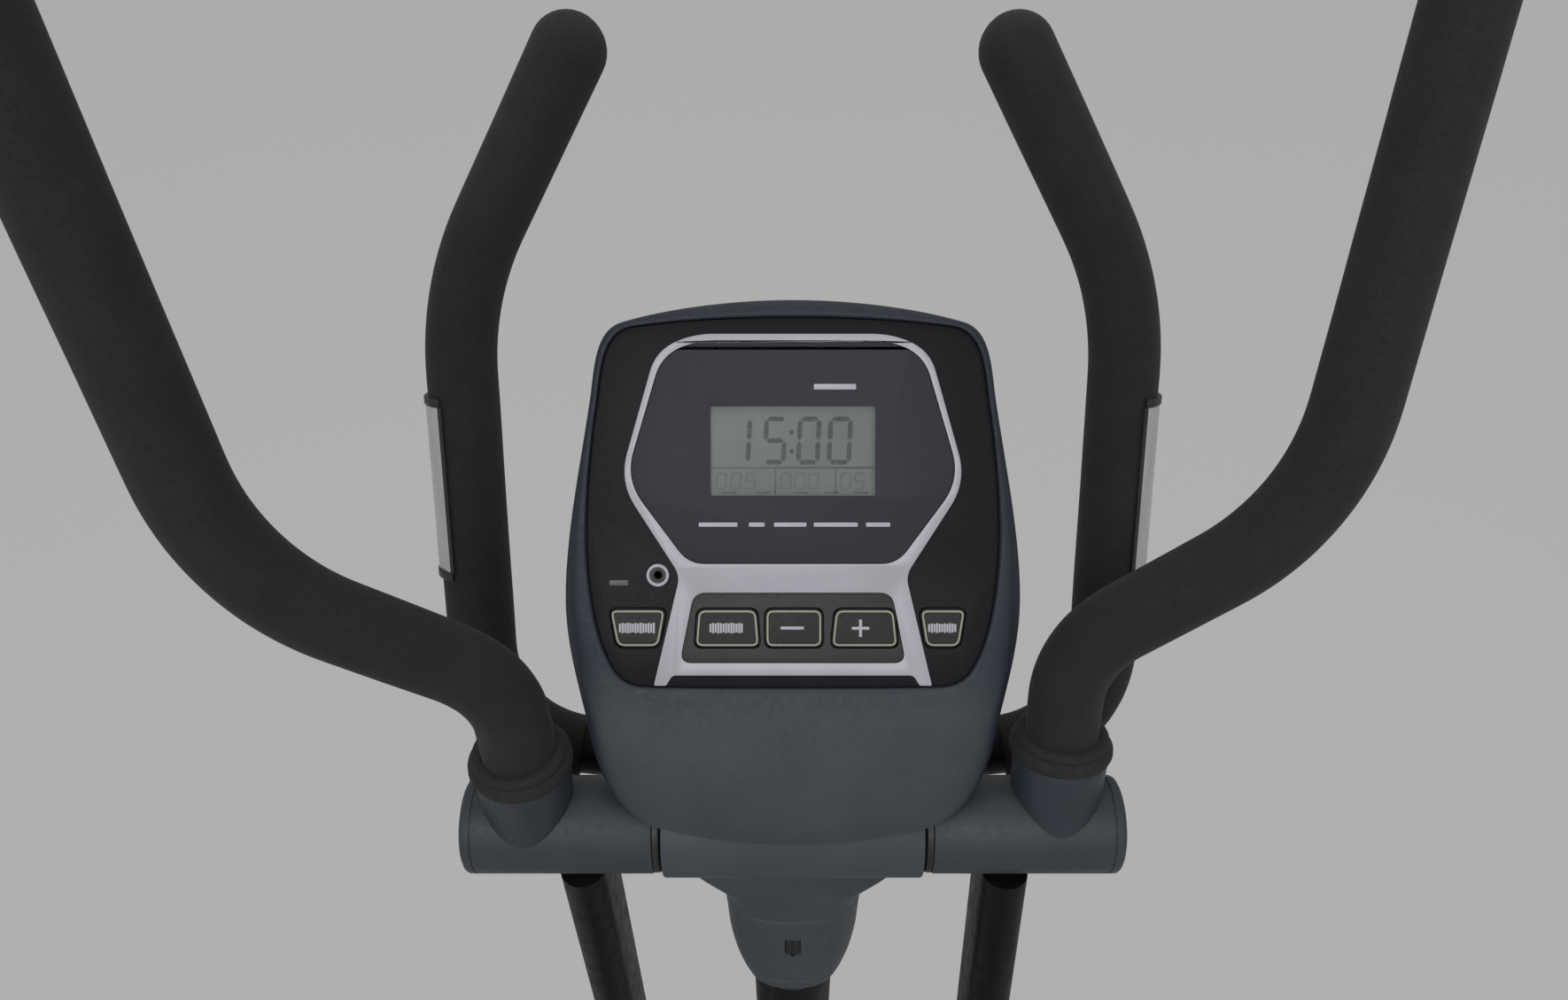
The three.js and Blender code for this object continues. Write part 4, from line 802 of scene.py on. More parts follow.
trim_outline = rounded([
    (61, 76.6, 1), (67, 76.6, 1), (54.2, 130, 5), (82.9, 175, 14), (65.1, 236.9, 10),
    (47.6, 245.1, 10), (-47.6, 245.1, 10), (-65.1, 236.9, 10), (-82.9, 175, 14), (-54.2, 130, 5),
    (-67, 76.6, 1), (-61, 76.6, 1), (-58, 81.6, 2), (58, 81.6, 2),
], 1, 10)
field_outline = rounded([(-54.5, 87.6), (54.5, 87.6), (47.5, 121.8), (-47.5, 121.8)], 6, 8)
trim = minus(plate(trim_outline, 1.2, 2.3, 0.35), plate(lens_outline, 0, 4, 0.01),
             plate(field_outline, 0, 4, 0.01))
piece("silver_line", trim, SILVER, at_face, ["silver_trim"], angle=30, bevel=0.25)

lens = minus(plate(inset(lens_outline, 0.3), 1.5, 2.3, 0.3), window_hole)
piece("smoked_lens", lens, LENS, at_face, ["display_lens"], angle=30, bevel=0.15)

field = minus(plate(inset(field_outline, 0.2), 2.2, 2.48, 0.1), *key_holes[1:4])
piece("key_field", field, KEY_FIELD, at_face, angle=30)

# The display: a grey-green glass in a shallow well, its segments drawn as thin raised shapes.
DISPLAY_DEPTH = 3.4
glass = plate(rectangle((-44, 44), (163, 216), 1), DISPLAY_DEPTH, 10, 0.3)
piece("display_glass", glass, GLASS, at_face, ["display_module"])
SEGMENT_FACE = (DISPLAY_DEPTH - 0.12, DISPLAY_DEPTH + 0.05)
SEGMENT_STEPS = [(0, depth) for depth in SEGMENT_FACE]
DIGIT_LOW = 184.2
DIGIT_HIGH = 204.8


def segment_bar(a, b, thick, slant=0.05):
    """One display segment between two points, with pointed ends, leaning like the digits."""
    start, end = Vector(a), Vector(b)
    along = (end - start).normalized()
    across = along.orthogonal() * thick / 2
    tip = along * thick / 2
    corners = [start, start + tip + across, end - tip + across, end, end - tip - across,
               start + tip - across]
    return slab([(p.x + slant * (p.y - DIGIT_LOW), p.y) for p in corners], SEGMENT_STEPS)


def digit(segments, left, right, low, high, thick):
    """The named segments of one digit, with small gaps between their tips."""
    middle = (low + high) / 2
    gap = thick * 0.18
    runs = {
        "top": ((left, high), (right, high)),
        "middle": ((left, middle), (right, middle)),
        "bottom": ((left, low), (right, low)),
        "upper_left": ((left, middle), (left, high)),
        "upper_right": ((right, middle), (right, high)),
        "lower_left": ((left, low), (left, middle)),
        "lower_right": ((right, low), (right, middle)),
    }
    bars = []
    for name in segments:
        a, b = (Vector(end) for end in runs[name])
        step = (b - a).normalized() * gap
        bars.append(segment_bar(a + step, b - step, thick))
    return bars


ALL_ROUND = ("top", "bottom", "upper_left", "upper_right", "lower_left", "lower_right")
FIVE = ("top", "upper_left", "middle", "lower_right", "bottom")
ONE = ("upper_right", "lower_right")
digits = []
for segments, left, right in (
    (ONE, -30.5, -21.5), (FIVE, -13.5, -4.6), (ALL_ROUND, 2.6, 11.6), (ALL_ROUND, 17.2, 26.6),
):
    digits += digit(segments, left, right, DIGIT_LOW, DIGIT_HIGH, 2.2)
for z in (189.5, 198.5):      # the two dots between the digits
    digits.append(slab(circle(1.1, 16, (-0.6, z)), SEGMENT_STEPS))
piece("display_digits", merged(*digits), SEGMENT, at_face)


def bar(a, b, depths, corner, edge=0.05):
    """A thin raised bar on the console's face."""
    return plate(rectangle(a, b, corner, 2), *depths, edge)


# Lines that part the display, a row of small digits, and short bars under them.
faint = []
for a, b in (((-38.8, 38.8), (181.2, 182)), ((-8.8, -8.1), (169, 181)), ((20.1, 20.8), (169, 181))):
    faint.append(bar(a, b, SEGMENT_FACE, 0.1, 0.02))
for left in (-36, -29, -22, -5, 1.5, 8, 23.5, 30):
    segments = FIVE if left in (-22, 30) else ALL_ROUND
    faint += digit(segments, left, left + 4.4, 171.4, 178.8, 0.95)
for left in (-34, -18, 0, 15, 29):
    faint.append(bar((left, left + 7), (169.2, 170.2), SEGMENT_FACE, 0.2, 0.02))
piece("display_fields", merged(*faint), FAINT_SEGMENT, at_face)

# Plain printed bars: a row of five under the display, one above it, and one beside the socket.
PRINT_FACE = (1.35, 1.6)
prints = []
for left, width in ((-45, 18.5), (-21, 7.5), (-9, 15.5), (10, 21), (35, 11.5)):
    prints.append(bar((left, left + width), (153.4, 155.4), PRINT_FACE, 0.4))
prints.append(bar((10, 30), (218.8, 221.4), PRINT_FACE, 0.3))
piece("printed_bars", merged(*prints), PRINT, at_face)
piece("socket_label", bar((-88, -79), (125, 127.6), (2.35, 2.6), 0.6), FAINT_SEGMENT, at_face,
      slot="silver_trim")

jack_ring = revolve([
    (3.9, 4.6), (3.9, 1.8), (4.2, 1.25), (4.7, 1.05), (5.2, 1.3), (5.5, 1.9), (5.5, 4.6),
], "y", JACK, 48, looped=True)
piece("socket_ring", jack_ring, PRINT, at_face, slot="black_plastic", angle=60)
jack_tube = revolve([(5.3, 3.1), (5.4, 3.4), (5.4, 13.4), (1.9, 13.4), (1.9, 3.3), (2.2, 3.0)],
                    "y", JACK, 48, looped=True)
piece("socket_body", jack_tube, DARK_PLASTIC, at_face, ["pulse_socket"])

# The keys: soft-edged tops with a pale line round each, and a sign or a row of strokes on it.
KEY_FACE = 1.7


def key_line(key):
    outer = inset(key_outline(key), 1.0)
    inner = inset(key_outline(key), 1.75)
    rings = [face_ring(outer, KEY_FACE + 0.3), face_ring(outer, KEY_FACE - 0.12),
             face_ring(inner, KEY_FACE - 0.12), face_ring(inner, KEY_FACE + 0.3)]
    return loft(rings, looped=True)


SIGN_SIZES = {"reset": (9, 4.2), "mode": (8.5, 4.2), "recovery": (7, 3.8)}
SIGN_STEP = 1.25
SIGN_Z = 104.6
PLUS_Z = 104.5
SIGN_HALF = 0.7           # half the thickness of the minus and the plus sign


def key_sign(name, middle):
    """The minus or the plus sign, or a row of uneven strokes in place of a word."""
    low, high = KEY_FACE - 0.14, KEY_FACE + 0.2
    if name == "minus":
        spread = (SIGN_Z - SIGN_HALF, SIGN_Z + SIGN_HALF)
        return [bar((middle - 6.4, middle + 4.8), spread, (low, high), 0.2, 0.04)]
    if name == "plus":
        x = middle - 2
        return [
            bar((x - a, x + a), (PLUS_Z - b, PLUS_Z + b), (low + lift, high), 0.2, 0.04)
            for a, b, lift in ((4.2, SIGN_HALF, 0), (SIGN_HALF, 4.2, 0.01))
        ]
    half, height = SIGN_SIZES[name]
    bars = []
    for k in range(int(2 * half / SIGN_STEP)):
        x = middle - half + k * SIGN_STEP
        tall = height * (0.5 + 0.06 * ((k * 3) % 5) / 2)
        bars.append(bar((x, x + 0.95), (SIGN_Z - tall, SIGN_Z + tall), (low, high), 0.2, 0.04))
    return bars


for key in KEYS:
    name, middle = key[0], key[1]
    top = inset(key_outline(key), 0.1)
    body = "key_" + name
    rings = [
        face_ring(inset(top, 0.9), KEY_FACE), face_ring(inset(top, 0.35), KEY_FACE + 0.12),
        face_ring(inset(top, 0.08), KEY_FACE + 0.4), face_ring(top, KEY_FACE + 0.8),
        face_ring(top, 9.5),
    ]
    piece(body + "_top", loft(rings), KEY_TOP, at_face, [body], body, angle=60)
    piece(body + "_line", key_line(key), KEY_LINE, at_face, (), body)
    piece(body + "_sign", merged(*key_sign(name, middle)), PRINT, at_face, (), body,
          slot="key_rubber")


# ---- Handlebars and grips ----

GRIP_RADIUS = 18
RIM_LENGTH = 2
RIM_DEPTH = 1.2
RIPPLE_RATE = 0.02        # the foam's unevenness: how fast it changes per millimetre,
RIPPLE_DROP = 0.008       # and the shares of the radius it lies under it and varies by
RIPPLE_SHARE = 0.012
TUBE_RADIUS = 14.3
BAR_CENTRE = Vector((0, 58.5, -24))
BAR_LOW = Vector((170, 64, -10))
BAR_HIGH = Vector((170, 158, 220))
BAR_END = Vector((93, 187, 351))
fixed_line = bent([BAR_CENTRE, BAR_LOW, BAR_HIGH, BAR_END], [62, 150])
moving_line = bent([(133, 2.5, 20), (132, 9, 106), (228, -4, 190), (264, 60, 420)], [60, 120])


def grip(line, start, seed):
    """A foam sleeve: slightly uneven, with a rolled rim at its start and a domed tip."""
    run = cut_line(line, start, 0)
    total = lengths_along(run)[-1]
    run = resampled(run, 3.0)
    tip = (run[-1] - run[-2]).normalized()
    dome_start = total - GRIP_RADIUS
    body = [point for i, point in enumerate(run) if i * total / (len(run) - 1) < dome_start - 1]
    base = run[-1] - tip * GRIP_RADIUS
    steps = 9
    dome = [base + tip * GRIP_RADIUS * math.sin(math.pi / 2 * k / steps) for k in range(steps)]
    line = [*body, *dome, run[-1] - tip * 0.05]
    body_length = lengths_along(line)[-1] - GRIP_RADIUS

    def radius_at(walked, turn):
        radius = GRIP_RADIUS
        if walked > body_length:
            share = min(1, (walked - body_length) / GRIP_RADIUS)
            radius = GRIP_RADIUS * math.sqrt(max(0, 1 - share * share))
        if walked < RIM_LENGTH:
            radius -= RIM_DEPTH * (1 - walked / RIM_LENGTH) ** 2
        across, up = polar(2, turn)
        ripple = noise.noise(Vector((walked * RIPPLE_RATE, across, seed + up)))
        return max(0.4, radius * (1 - RIPPLE_DROP + RIPPLE_SHARE * ripple))

    return sweep(line, radius_at, 48)


for word, side in SIDES:
    name = "fixed_grip_" + word
    foam = grip(fixed_line, start=118, seed=3.1 + side)
    piece(name + "_foam", for_side(foam, side), FOAM, at_pivot, [name], angle=70, soft=0.9)

inner_bar = cut_line(fixed_line, 0, 60)
full_bar = [Vector((-p.x, p.y, p.z)) for p in reversed(inner_bar[1:])] + inner_bar
saddle = minus(
    plate(rectangle((-22, 22), (BAR_CENTRE.z - 15, BAR_CENTRE.z + 15), 4), 34, 52, 2),
    moved(rod(-120, 80, 25.2, "z", (0, 0), 0.1), mast_turn))
clamp = plate(rectangle((-20, 20), (BAR_CENTRE.z - 19, BAR_CENTRE.z + 19), 5), 66, 74, 2)
BOLT_PROFILE = ((0.2, 73), (5.4, 73), (5.4, 77.4), (4.2, 78.6), (2.4, 78.6), (2.4, 76), (0.2, 76))
bolts = [
    revolve(BOLT_PROFILE, "y", (x, BAR_CENTRE.z + z), 24) for x in (-13, 13) for z in (-13, 13)
]
bar_tube = sweep(full_bar, lambda walked, turn: TUBE_RADIUS, 32)
piece("handlebar_tube", bar_tube, PAINT, at_pivot, ["fixed_handlebar"], angle=60)
piece("handlebar_saddle", saddle, PAINT, at_pivot, angle=30)
piece("handlebar_clamp", clamp, PAINT, at_pivot, angle=30)
piece("handlebar_bolts", merged(*bolts), STEEL, at_pivot, angle=30)

# The pulse strips: plated metal on the outer side of each fixed grip, in a black frame.
STRIP_HALF = 44
STRIP_TURN = math.radians(62)
run_up = BAR_HIGH - BAR_LOW
strip_place = Matrix.Translation(BAR_LOW + run_up * 0.6) @ Vector((0, 0, 1)).rotation_difference(
    run_up.normalized()).to_matrix().to_4x4()


def strip_shape(half_turn, low, high, inner, outer, sides=28):
    """A curved strip round the outer side of a grip, with its long edges rolled in."""
    rings = []
    rim = 0.35
    spread = [half_turn * (2 * k / sides - 1) for k in range(sides + 1)]
    for along, drop in ((low, rim), (low + rim, 0), (high - rim, 0), (high, rim)):
        ring = []
        for k, turn in enumerate(spread):
            fall = rim if k in (0, sides) else drop
            ring.append(Vector((*polar(outer - fall, turn), along)))
        ring += [Vector((*polar(inner, turn), along)) for turn in reversed(spread)]
        rings.append(ring)
    return loft(rings)


strip = strip_shape(STRIP_TURN, -STRIP_HALF, STRIP_HALF, 17.2, 19.3)
strip_frame = [
    strip_shape(STRIP_TURN * 1.05, low, low + 4.3, 16.9, 19.9)
    for low in (-STRIP_HALF - 4.5, STRIP_HALF + 0.2)
]
for turn in (-STRIP_TURN * 1.045, STRIP_TURN * 1.045):
    edge = strip_shape(math.radians(3.5), -STRIP_HALF - 0.3, STRIP_HALF + 0.3, 16.9, 19.5)
    strip_frame.append(moved(edge, Matrix.Rotation(turn, 4, "Z")))
pair("pulse_plate_*_strip", moved(strip, strip_place), PLATE_STEEL, at_pivot, ["pulse_plate_*"],
     angle=45)
pair("pulse_plate_*_frame", moved(merged(*strip_frame), strip_place), DARK_PLASTIC, at_pivot,
     angle=45)

# ---- Swing arms ----

SOCKET_X = 133
SLEEVE_X = (70, 166)
SLEEVE_RADIUS = 24.5
# The moulding's two halves meet along the sleeve, low on the user's side and opposite it.
SEAM_TURNS = (-2.55, 0.59)
ARM_X = 109
SOCKET_LEAN = -6
socket_place = turned((SOCKET_X, 0, 0), SOCKET_LEAN)


def turned_sleeve():
    low, high = SLEEVE_X
    outside = [
        (17.4, low + 0.4), (23.3, low), (24.1, low + 0.35), (SLEEVE_RADIUS, low + 1.4),
        (SLEEVE_RADIUS, high - 6.6), (SLEEVE_RADIUS - 0.45, high - 6.4),
        (SLEEVE_RADIUS - 0.45, high - 5.8), (SLEEVE_RADIUS, high - 5.6),
        (SLEEVE_RADIUS - 0.1, high - 2.6), (23.6, high - 1.2), (21.8, high - 0.2), (19, high),
        (0.2, high - 0.1),
    ]
    body = revolve([(0.2, low + 0.4), *outside], "x", sides=96)
    grooves = []
    for turn in SEAM_TURNS:
        spot = polar(SLEEVE_RADIUS, turn)
        grooves.append(slab(circle(0.42, 12, spot), [(0, low - 1), (0, high - 6.6)], "x"))
    return minus(body, *grooves)


def socket_shape():
    wall = [
        (22.4, 0), (22.45, 18), (22.9, 30), (23.4, 44), (23.2, 46.6), (22.3, 47.8), (21, 48),
        (16, 48), (15.6, 46), (15.4, 20), (0.2, 20),
    ]
    return moved(revolve([(0.2, 0), *wall], "z", sides=80), socket_place)


def boot_shape():
    """The soft ring that closes the gap between the socket and the foam."""
    profile = [
        (18.1, 46.2), (22.4, 46.3), (24.6, 47.2), (25.3, 49.2), (25.1, 51.6), (23.6, 53.6),
        (22.6, 54.2), (22.9, 55.2), (22.5, 57.4), (20.6, 58.8), (18.1, 59),
    ]
    return moved(revolve(profile, "z", sides=72, looped=True), socket_place)


def arm_section(inward, z):
    return [Vector((ARM_X + a, b, z)) for a, b in inset(stadium(11.7, 24), inward)]


def lower_arm_shape():
    joint_z = -SWING_LENGTH
    tube = loft([
        arm_section(1.2, joint_z + 6), arm_section(0, joint_z + 8), arm_section(0, -340),
        arm_section(0, -60), arm_section(0, -SLEEVE_RADIUS + 3),
    ])
    room = rod(SLEEVE_X[0] - 9, SLEEVE_X[1], SLEEVE_RADIUS + 0.05, edge=0.1, sides=96)
    return minus(tube, room)


for word, side in SIDES:
    name = "handle_grip_" + word
    foam = grip(moving_line, start=32, seed=9.3 + side)
    piece(name + "_foam", for_side(foam, side), FOAM, at_swing[word],
          [name, "handle_tube_" + word], "swing_" + word, angle=70, soft=0.9)
pair("sleeve_*", turned_sleeve(), SLATE, at_swing, ["pivot_sleeve_*"], "swing_*", angle=35)
pair("handle_socket_*", socket_shape(), NAVY, at_swing, (), "swing_*", angle=35)
pair("handle_boot_*", boot_shape(), RUBBER, at_swing, (), "swing_*", angle=60, soft=0.9)
flange = revolve([
    (8.3, 66.3), (22.4, 66.2), (23.7, 66.9), (24, 68), (24, 69.7), (17, 69.7), (17, 76), (8.3, 76),
], "x", sides=72, looped=True)
pair("bush_flange_*", flange, DARK_PLASTIC, at_swing, ["pivot_bush_*"], "swing_*", angle=35)
pair("lower_arm_tube_*", lower_arm_shape(), PAINT, at_swing, ["lower_arm_*"], "swing_*")
eye = revolve([
    (8.6, ARM_X - 14), (17.5, ARM_X - 14), (19, ARM_X - 12.6), (19, ARM_X + 12.6),
    (17.5, ARM_X + 14), (8.6, ARM_X + 14),
], "x", (0, -SWING_LENGTH), 64, looped=True)
pair("lower_eye_*", eye, PAINT, at_swing, (), "swing_*", angle=35)
eye_weld = weld_bead(60, lambda c, s: (
    ARM_X + 11.9 * c, 24.2 * s, 11.5 + 3.8 * (c * c - s * s) - SWING_LENGTH), 1.5, 0.25 / 1.5, 1.7)
pair("lower_weld_*", eye_weld, PAINT, at_swing, (), "swing_*", angle=60)

# ---- Neck cover, mast and pivot axle ----

NECK_LEVELS = (      # height in the mast's frame, half width, half depth
    (-186, 28.5, 27.5), (-172, 32.5, 28.5), (-150, 36, 29.5), (-126, 38, 30), (-96, 38.5, 30.5),
    (-72, 39.5, 31), (-62, 43, 31), (-54, 51, 30.5), (-47, 60, 30), (-40, 64, 29), (10, 64, 27),
)
NECK_POWER = 0.75      # 1 would make the neck's section an ellipse, and less makes it squarer


def neck_size(height):
    """The neck's half width and half depth at a height, in even steps between its levels."""
    if height <= NECK_LEVELS[0][0]:
        return NECK_LEVELS[0][1:]
    for (z0, w0, d0), (z1, w1, d1) in zip(NECK_LEVELS, NECK_LEVELS[1:]):
        if height <= z1:
            share = (height - z0) / (z1 - z0)
            return w0 + (w1 - w0) * share, d0 + (d1 - d0) * share
    return NECK_LEVELS[-1][1:]


def neck_ring(height, inward, count=96):
    """The neck's outline at a height, its size averaged with the heights just above and below."""
    sizes = [neck_size(height + step) for step in (0, -6, -3, 3, 6)]
    half_width = sum(width for width, _ in sizes) / len(sizes) - inward
    half_depth = sum(depth for _, depth in sizes) / len(sizes) - inward
    ring = []
    for turn in turns(count):
        a, b = (squared(share, NECK_POWER) for share in polar(1, turn))
        ring.append(Vector((half_width * a, half_depth * b, height)))
    return ring


def neck_body():
    """The neck with its two grooves, joined to the cross tube round the pivot. A step is a
    ring's height and how far it lies inwards; the grooves are at -170 and -80."""
    steps = [(-183, 1.5), (-183, 0.2), (-182, 0)]
    steps += [(z, 0) for z in range(-178, -171, 2)]
    steps += [(-171, 0), (-170.6, 0.7), (-169.4, 0.7), (-169, 0)]
    steps += [(z, 0) for z in range(-166, -84, 6)]
    steps += [(-80.8, 0), (-80.3, 0.8), (-79.2, 0.8), (-78.7, 0)]
    steps += [(z, 0) for z in range(-76, 8, 4)]
    steps += [(8, 0), (10, 1)]
    cross = rod(-65.5, 65.5, COVER_RADIUS, edge=1.2, sides=96)
    return plus(loft([neck_ring(*step) for step in steps]), moved(cross, pivot_in_mast))


neck = neck_body()
mast_room = rod(-200, 4, 25.3, "z", edge=0.1, sides=64)
axle_room = moved(rod(-70, 70, 9.5, edge=0.1), pivot_in_mast)
bar_room = moved(block((-80, 80), (41, 90), (-42, -6)), pivot_in_mast)
saddle_room = moved(block((-23, 23), (30, 90), (-42, -6)), pivot_in_mast)
LATCH_Z = (-126, -104)
latch_hole = plate(rectangle((-4.6, 4.6), LATCH_Z, 0.8), -40, -27.2, 0.01)
latch_notch = slab([(-2.2, LATCH_Z[0] + 0.5), (2.2, LATCH_Z[0] + 0.5), (0, LATCH_Z[0] - 3)],
                   [(0, -40), (0, -28)])
for name, low, high, cuts in (
    ("front", -70, -0.15, [latch_hole, latch_notch]),
    ("rear", 0.15, 80, [bar_room, saddle_room]),
):
    half = combine("INTERSECT", neck, block((-90, 90), (low, high), (-200, 60)))
    half = minus(half, mast_room, axle_room, *cuts)
    piece("neck_cover_" + name + "_shell", half, NECK, at_mast, ["neck_cover_" + name], angle=32)
lip = revolve([(25.4, -186), (27.0, -186), (27.8, -185.4), (28.0, -183.4), (25.4, -183.2)],
              "z", sides=72, looped=True)
piece("neck_lip", lip, NAVY, at_mast)
latch = merged(*[
    plate(rectangle((x - 1.8, x + 1.8), (LATCH_Z[0] + 0.6, LATCH_Z[1] - 0.6), 0.5), -29, -27.1, 0.3)
    for x in (-2.35, 2.35)
])
piece("neck_latch", latch, RUBBER, at_mast, slot="black_plastic")
MAST_LENGTH = (PIVOT.z - SPINE_Z[1] - 5) / math.cos(math.radians(MAST_LEAN))
piece("mast_tube", rod(-MAST_LENGTH, 4, 25, "z", edge=0.5, sides=72), PAINT, at_mast, ["mast"])
piece("mast_head", rod(-61, 61, 17, edge=0.8), PAINT, at_pivot)
piece("console_bracket", plate(rectangle((-28, 28), (2, 100), 5), 46.3, 51, 0.8), PAINT, at_face)

# ---- Frame, stabilisers and feet ----

CRANK_YZ = (CRANK_AXIS.y - PIVOT.y, CRANK_AXIS.z)
FLYWHEEL_YZ = (FLYWHEEL_AXIS.y - PIVOT.y, FLYWHEEL_AXIS.z)
FRONT_FOOT_Y = 205
REAR_FOOT_Y = -940
FOOT_TUBE_Z = 27.5

spine_section = rectangle((-35, 35), SPINE_Z, 7)
spine = minus(slab(spine_section, [(0, REAR_FOOT_Y - 22), (0, FRONT_FOOT_Y + 18)]),
              slab(inset(spine_section, 2.5), [(0, REAR_FOOT_Y - 30), (0, FRONT_FOOT_Y + 30)]))
piece("frame_spine", spine, PAINT, at_ground, ["main_frame"])
plate_y = (FLYWHEEL_YZ[0] - 60, CRANK_YZ[0] + 80)
cross_plate = plate(rectangle((-52, 51), plate_y, 6), 86.3, 92.8, 1.0, "z")
upright_outline = rounded([
    (plate_y[0], 91.8, 4), (plate_y[1], 91.8, 4), (CRANK_YZ[0] + 36, CRANK_YZ[1] + 34, 20),
    (CRANK_YZ[0] - 36, CRANK_YZ[1] + 34, 20), (FLYWHEEL_YZ[0] - 34, FLYWHEEL_YZ[1] + 34, 20),
], 4)
piece("frame_cross_plate", cross_plate, PAINT, at_ground)
for word, low, high in (("left", -52, -47), ("right", 46, 51)):
    upright = minus(plate(upright_outline, low, high, 0.8, "x"),
                    rod(low - 1, high + 1, 10.8, "x", CRANK_YZ, 0.01),
                    rod(low - 1, high + 1, 8.6, "x", FLYWHEEL_YZ, 0.01))
    piece("frame_upright_" + word, upright, PAINT, at_ground)
plug = plate(inset(spine_section, 0.6), 0, 3, 1.0)
for word, y in (("front", FRONT_FOOT_Y + 18), ("rear", REAR_FOOT_Y - 25)):
    piece("spine_plug_" + word, plug, DARK_PLASTIC, at_ground @ Matrix.Translation((0, y, 0)))

mast_foot_y = MAST_AHEAD + (PIVOT.z - SPINE_Z[1]) * math.tan(math.radians(MAST_LEAN))
mast_weld = weld_bead(72, lambda c, s: (25.4 * c, mast_foot_y + 25.8 * s, 88.6), 2.6)
piece("mast_weld", mast_weld, PAINT, at_ground, angle=70)
gusset_outline = rounded([
    (mast_foot_y - 27, 87), (mast_foot_y - 88, 87), (mast_foot_y - 88, 93),
    (mast_foot_y - 36, 158), (mast_foot_y - 33, 158)], 1.5)
piece("mast_gusset", plate(gusset_outline, -3, 3, 0.8, "x"), PAINT, at_ground)

for word, y in (("front", FRONT_FOOT_Y), ("rear", REAR_FOOT_Y)):
    cross_tube = rod(-262, 262, 19, "x", (y, FOOT_TUBE_Z), 0.8, 72)
    saddle_welds = [
        weld_bead(24, lambda c, s: (x, y + 9 * c, 45.2 + 1.4 * s), 1.3) for x in (-34, 34)
    ]
    piece(word + "_cross_tube", cross_tube, PAINT, at_ground, [word + "_stabilizer"])
    piece(word + "_cross_weld", merged(*saddle_welds), PAINT, at_ground, angle=70)

CAP_RADIUS = 25.4
CAP_PROFILE = [
    (20.2, 232.4), (24.3, 232), (25.1, 232.6), (CAP_RADIUS, 234), (CAP_RADIUS, 238),
    (24.4, 238.8), (24.4, 240.4), (CAP_RADIUS, 241.2), (CAP_RADIUS, 276), (25.2, 279.4),
    (24.2, 282.2), (22.4, 284), (19.6, 284.8), (12, 285), (10.6, 284), (0.2, 283.8),
]


def foot_cap(y, flutes):
    """The moulded cap on a stabiliser's end; its flutes give fingers a hold to turn it."""
    cap = revolve([(0.2, 232.4), *CAP_PROFILE], "x", (y, CAP_RADIUS), 96)
    bore = revolve([(0.2, 231), (19.8, 231), (19.8, 262.3), (0.2, 262.3)], "x",
                   (y, FOOT_TUBE_Z), 64)
    grooves = []
    for k in range(flutes):
        spot = polar(CAP_RADIUS + 1.3, 2 * math.pi * (k + 0.5) / flutes, (y, CAP_RADIUS))
        grooves.append(rod(246, 272, 2.6, "x", spot, 1.2, 16))
    return minus(cap, bore, *grooves)


WHEEL_X = 256
WHEEL_SPOT = (FRONT_FOOT_Y + 42, 27)
WHEEL_HALF = (       # radius, distance from the wheel's middle plane
    (4.7, 6), (9, 6), (10, 4.6), (16, 4.6), (17, 7.6), (20, 8), (21.4, 6.8), (22, 5), (22, 1),
    (21.3, 0.5),
)
wheel_profile = [(radius, WHEEL_X - reach) for radius, reach in WHEEL_HALF]
wheel_profile += [(radius, WHEEL_X + reach) for radius, reach in reversed(WHEEL_HALF)]
wheel = revolve(wheel_profile, "x", WHEEL_SPOT, 64, looped=True)
lug_outline = rounded([
    (FRONT_FOOT_Y + 20.8, 12, 2), (WHEEL_SPOT[0] + 9, WHEEL_SPOT[1] - 9, 7),
    (WHEEL_SPOT[0] + 9, WHEEL_SPOT[1] + 9, 7), (FRONT_FOOT_Y + 20.8, 40, 2)], 2)
wheel_space = rod(WHEEL_X - 9, WHEEL_X + 9, 23.5, "x", WHEEL_SPOT, 0.1, 64)
wheel_pin = rod(WHEEL_X - 15.5, WHEEL_X + 15.5, 4, "x", WHEEL_SPOT, 0.6, 32)
lugs = [plate(lug_outline, low, low + 5, 0.8, "x") for low in (WHEEL_X - 14.5, WHEEL_X + 9.5)]
pair("front_foot_cap_*", minus(foot_cap(FRONT_FOOT_Y, 0), wheel_space), DARK_PLASTIC, at_ground,
     ["front_cap_*"], angle=35)
pair("wheel_fork_*", merged(*lugs), DARK_PLASTIC, at_ground, angle=35)
pair("wheel_pin_*", wheel_pin, STEEL, at_ground)
pair("transport_wheel_*_tyre", wheel, RUBBER, at_ground, ["transport_wheel_*"],
     "transport_wheel_*", angle=35)
pair("rear_cap_*_turning", foot_cap(REAR_FOOT_Y, 14), DARK_PLASTIC, at_ground, ["rear_cap_*"],
     "rear_cap_*", angle=35)

# ---- Housing, crank discs and crank arms ----

housing_outline = wrapped(CRANK_YZ, 190, FLYWHEEL_YZ, 162, 90)
housing_skin = slab(housing_outline, [
    (0.5, 0.15), (0, 0.6), (0, 43), (0.5, 47.5), (1.8, 51.2), (4, 54.2), (7.2, 56.4), (11, 57.6),
    (15, 58)], "x")
housing_hollow = slab(housing_outline, [(3, -1), (3, 43), (5.5, 50), (10, 54), (16, 55)], "x")
axle_hole = rod(40, 70, 20, "x", CRANK_YZ, 0.1)
frame_slot = block((-1, 55), (FLYWHEEL_YZ[0] - 66, CRANK_YZ[0] + 86), (SPINE_Z[1], 200))
rim_groove = minus(slab(inset(housing_outline, 20), [(0, 57.2), (0, 59)], "x"),
                   slab(inset(housing_outline, 21.6), [(0, 57), (0, 60)], "x"))
vent_slots = []
slot = rectangle((-22, 22), (-2.6, 2.6), 2.5, 4)
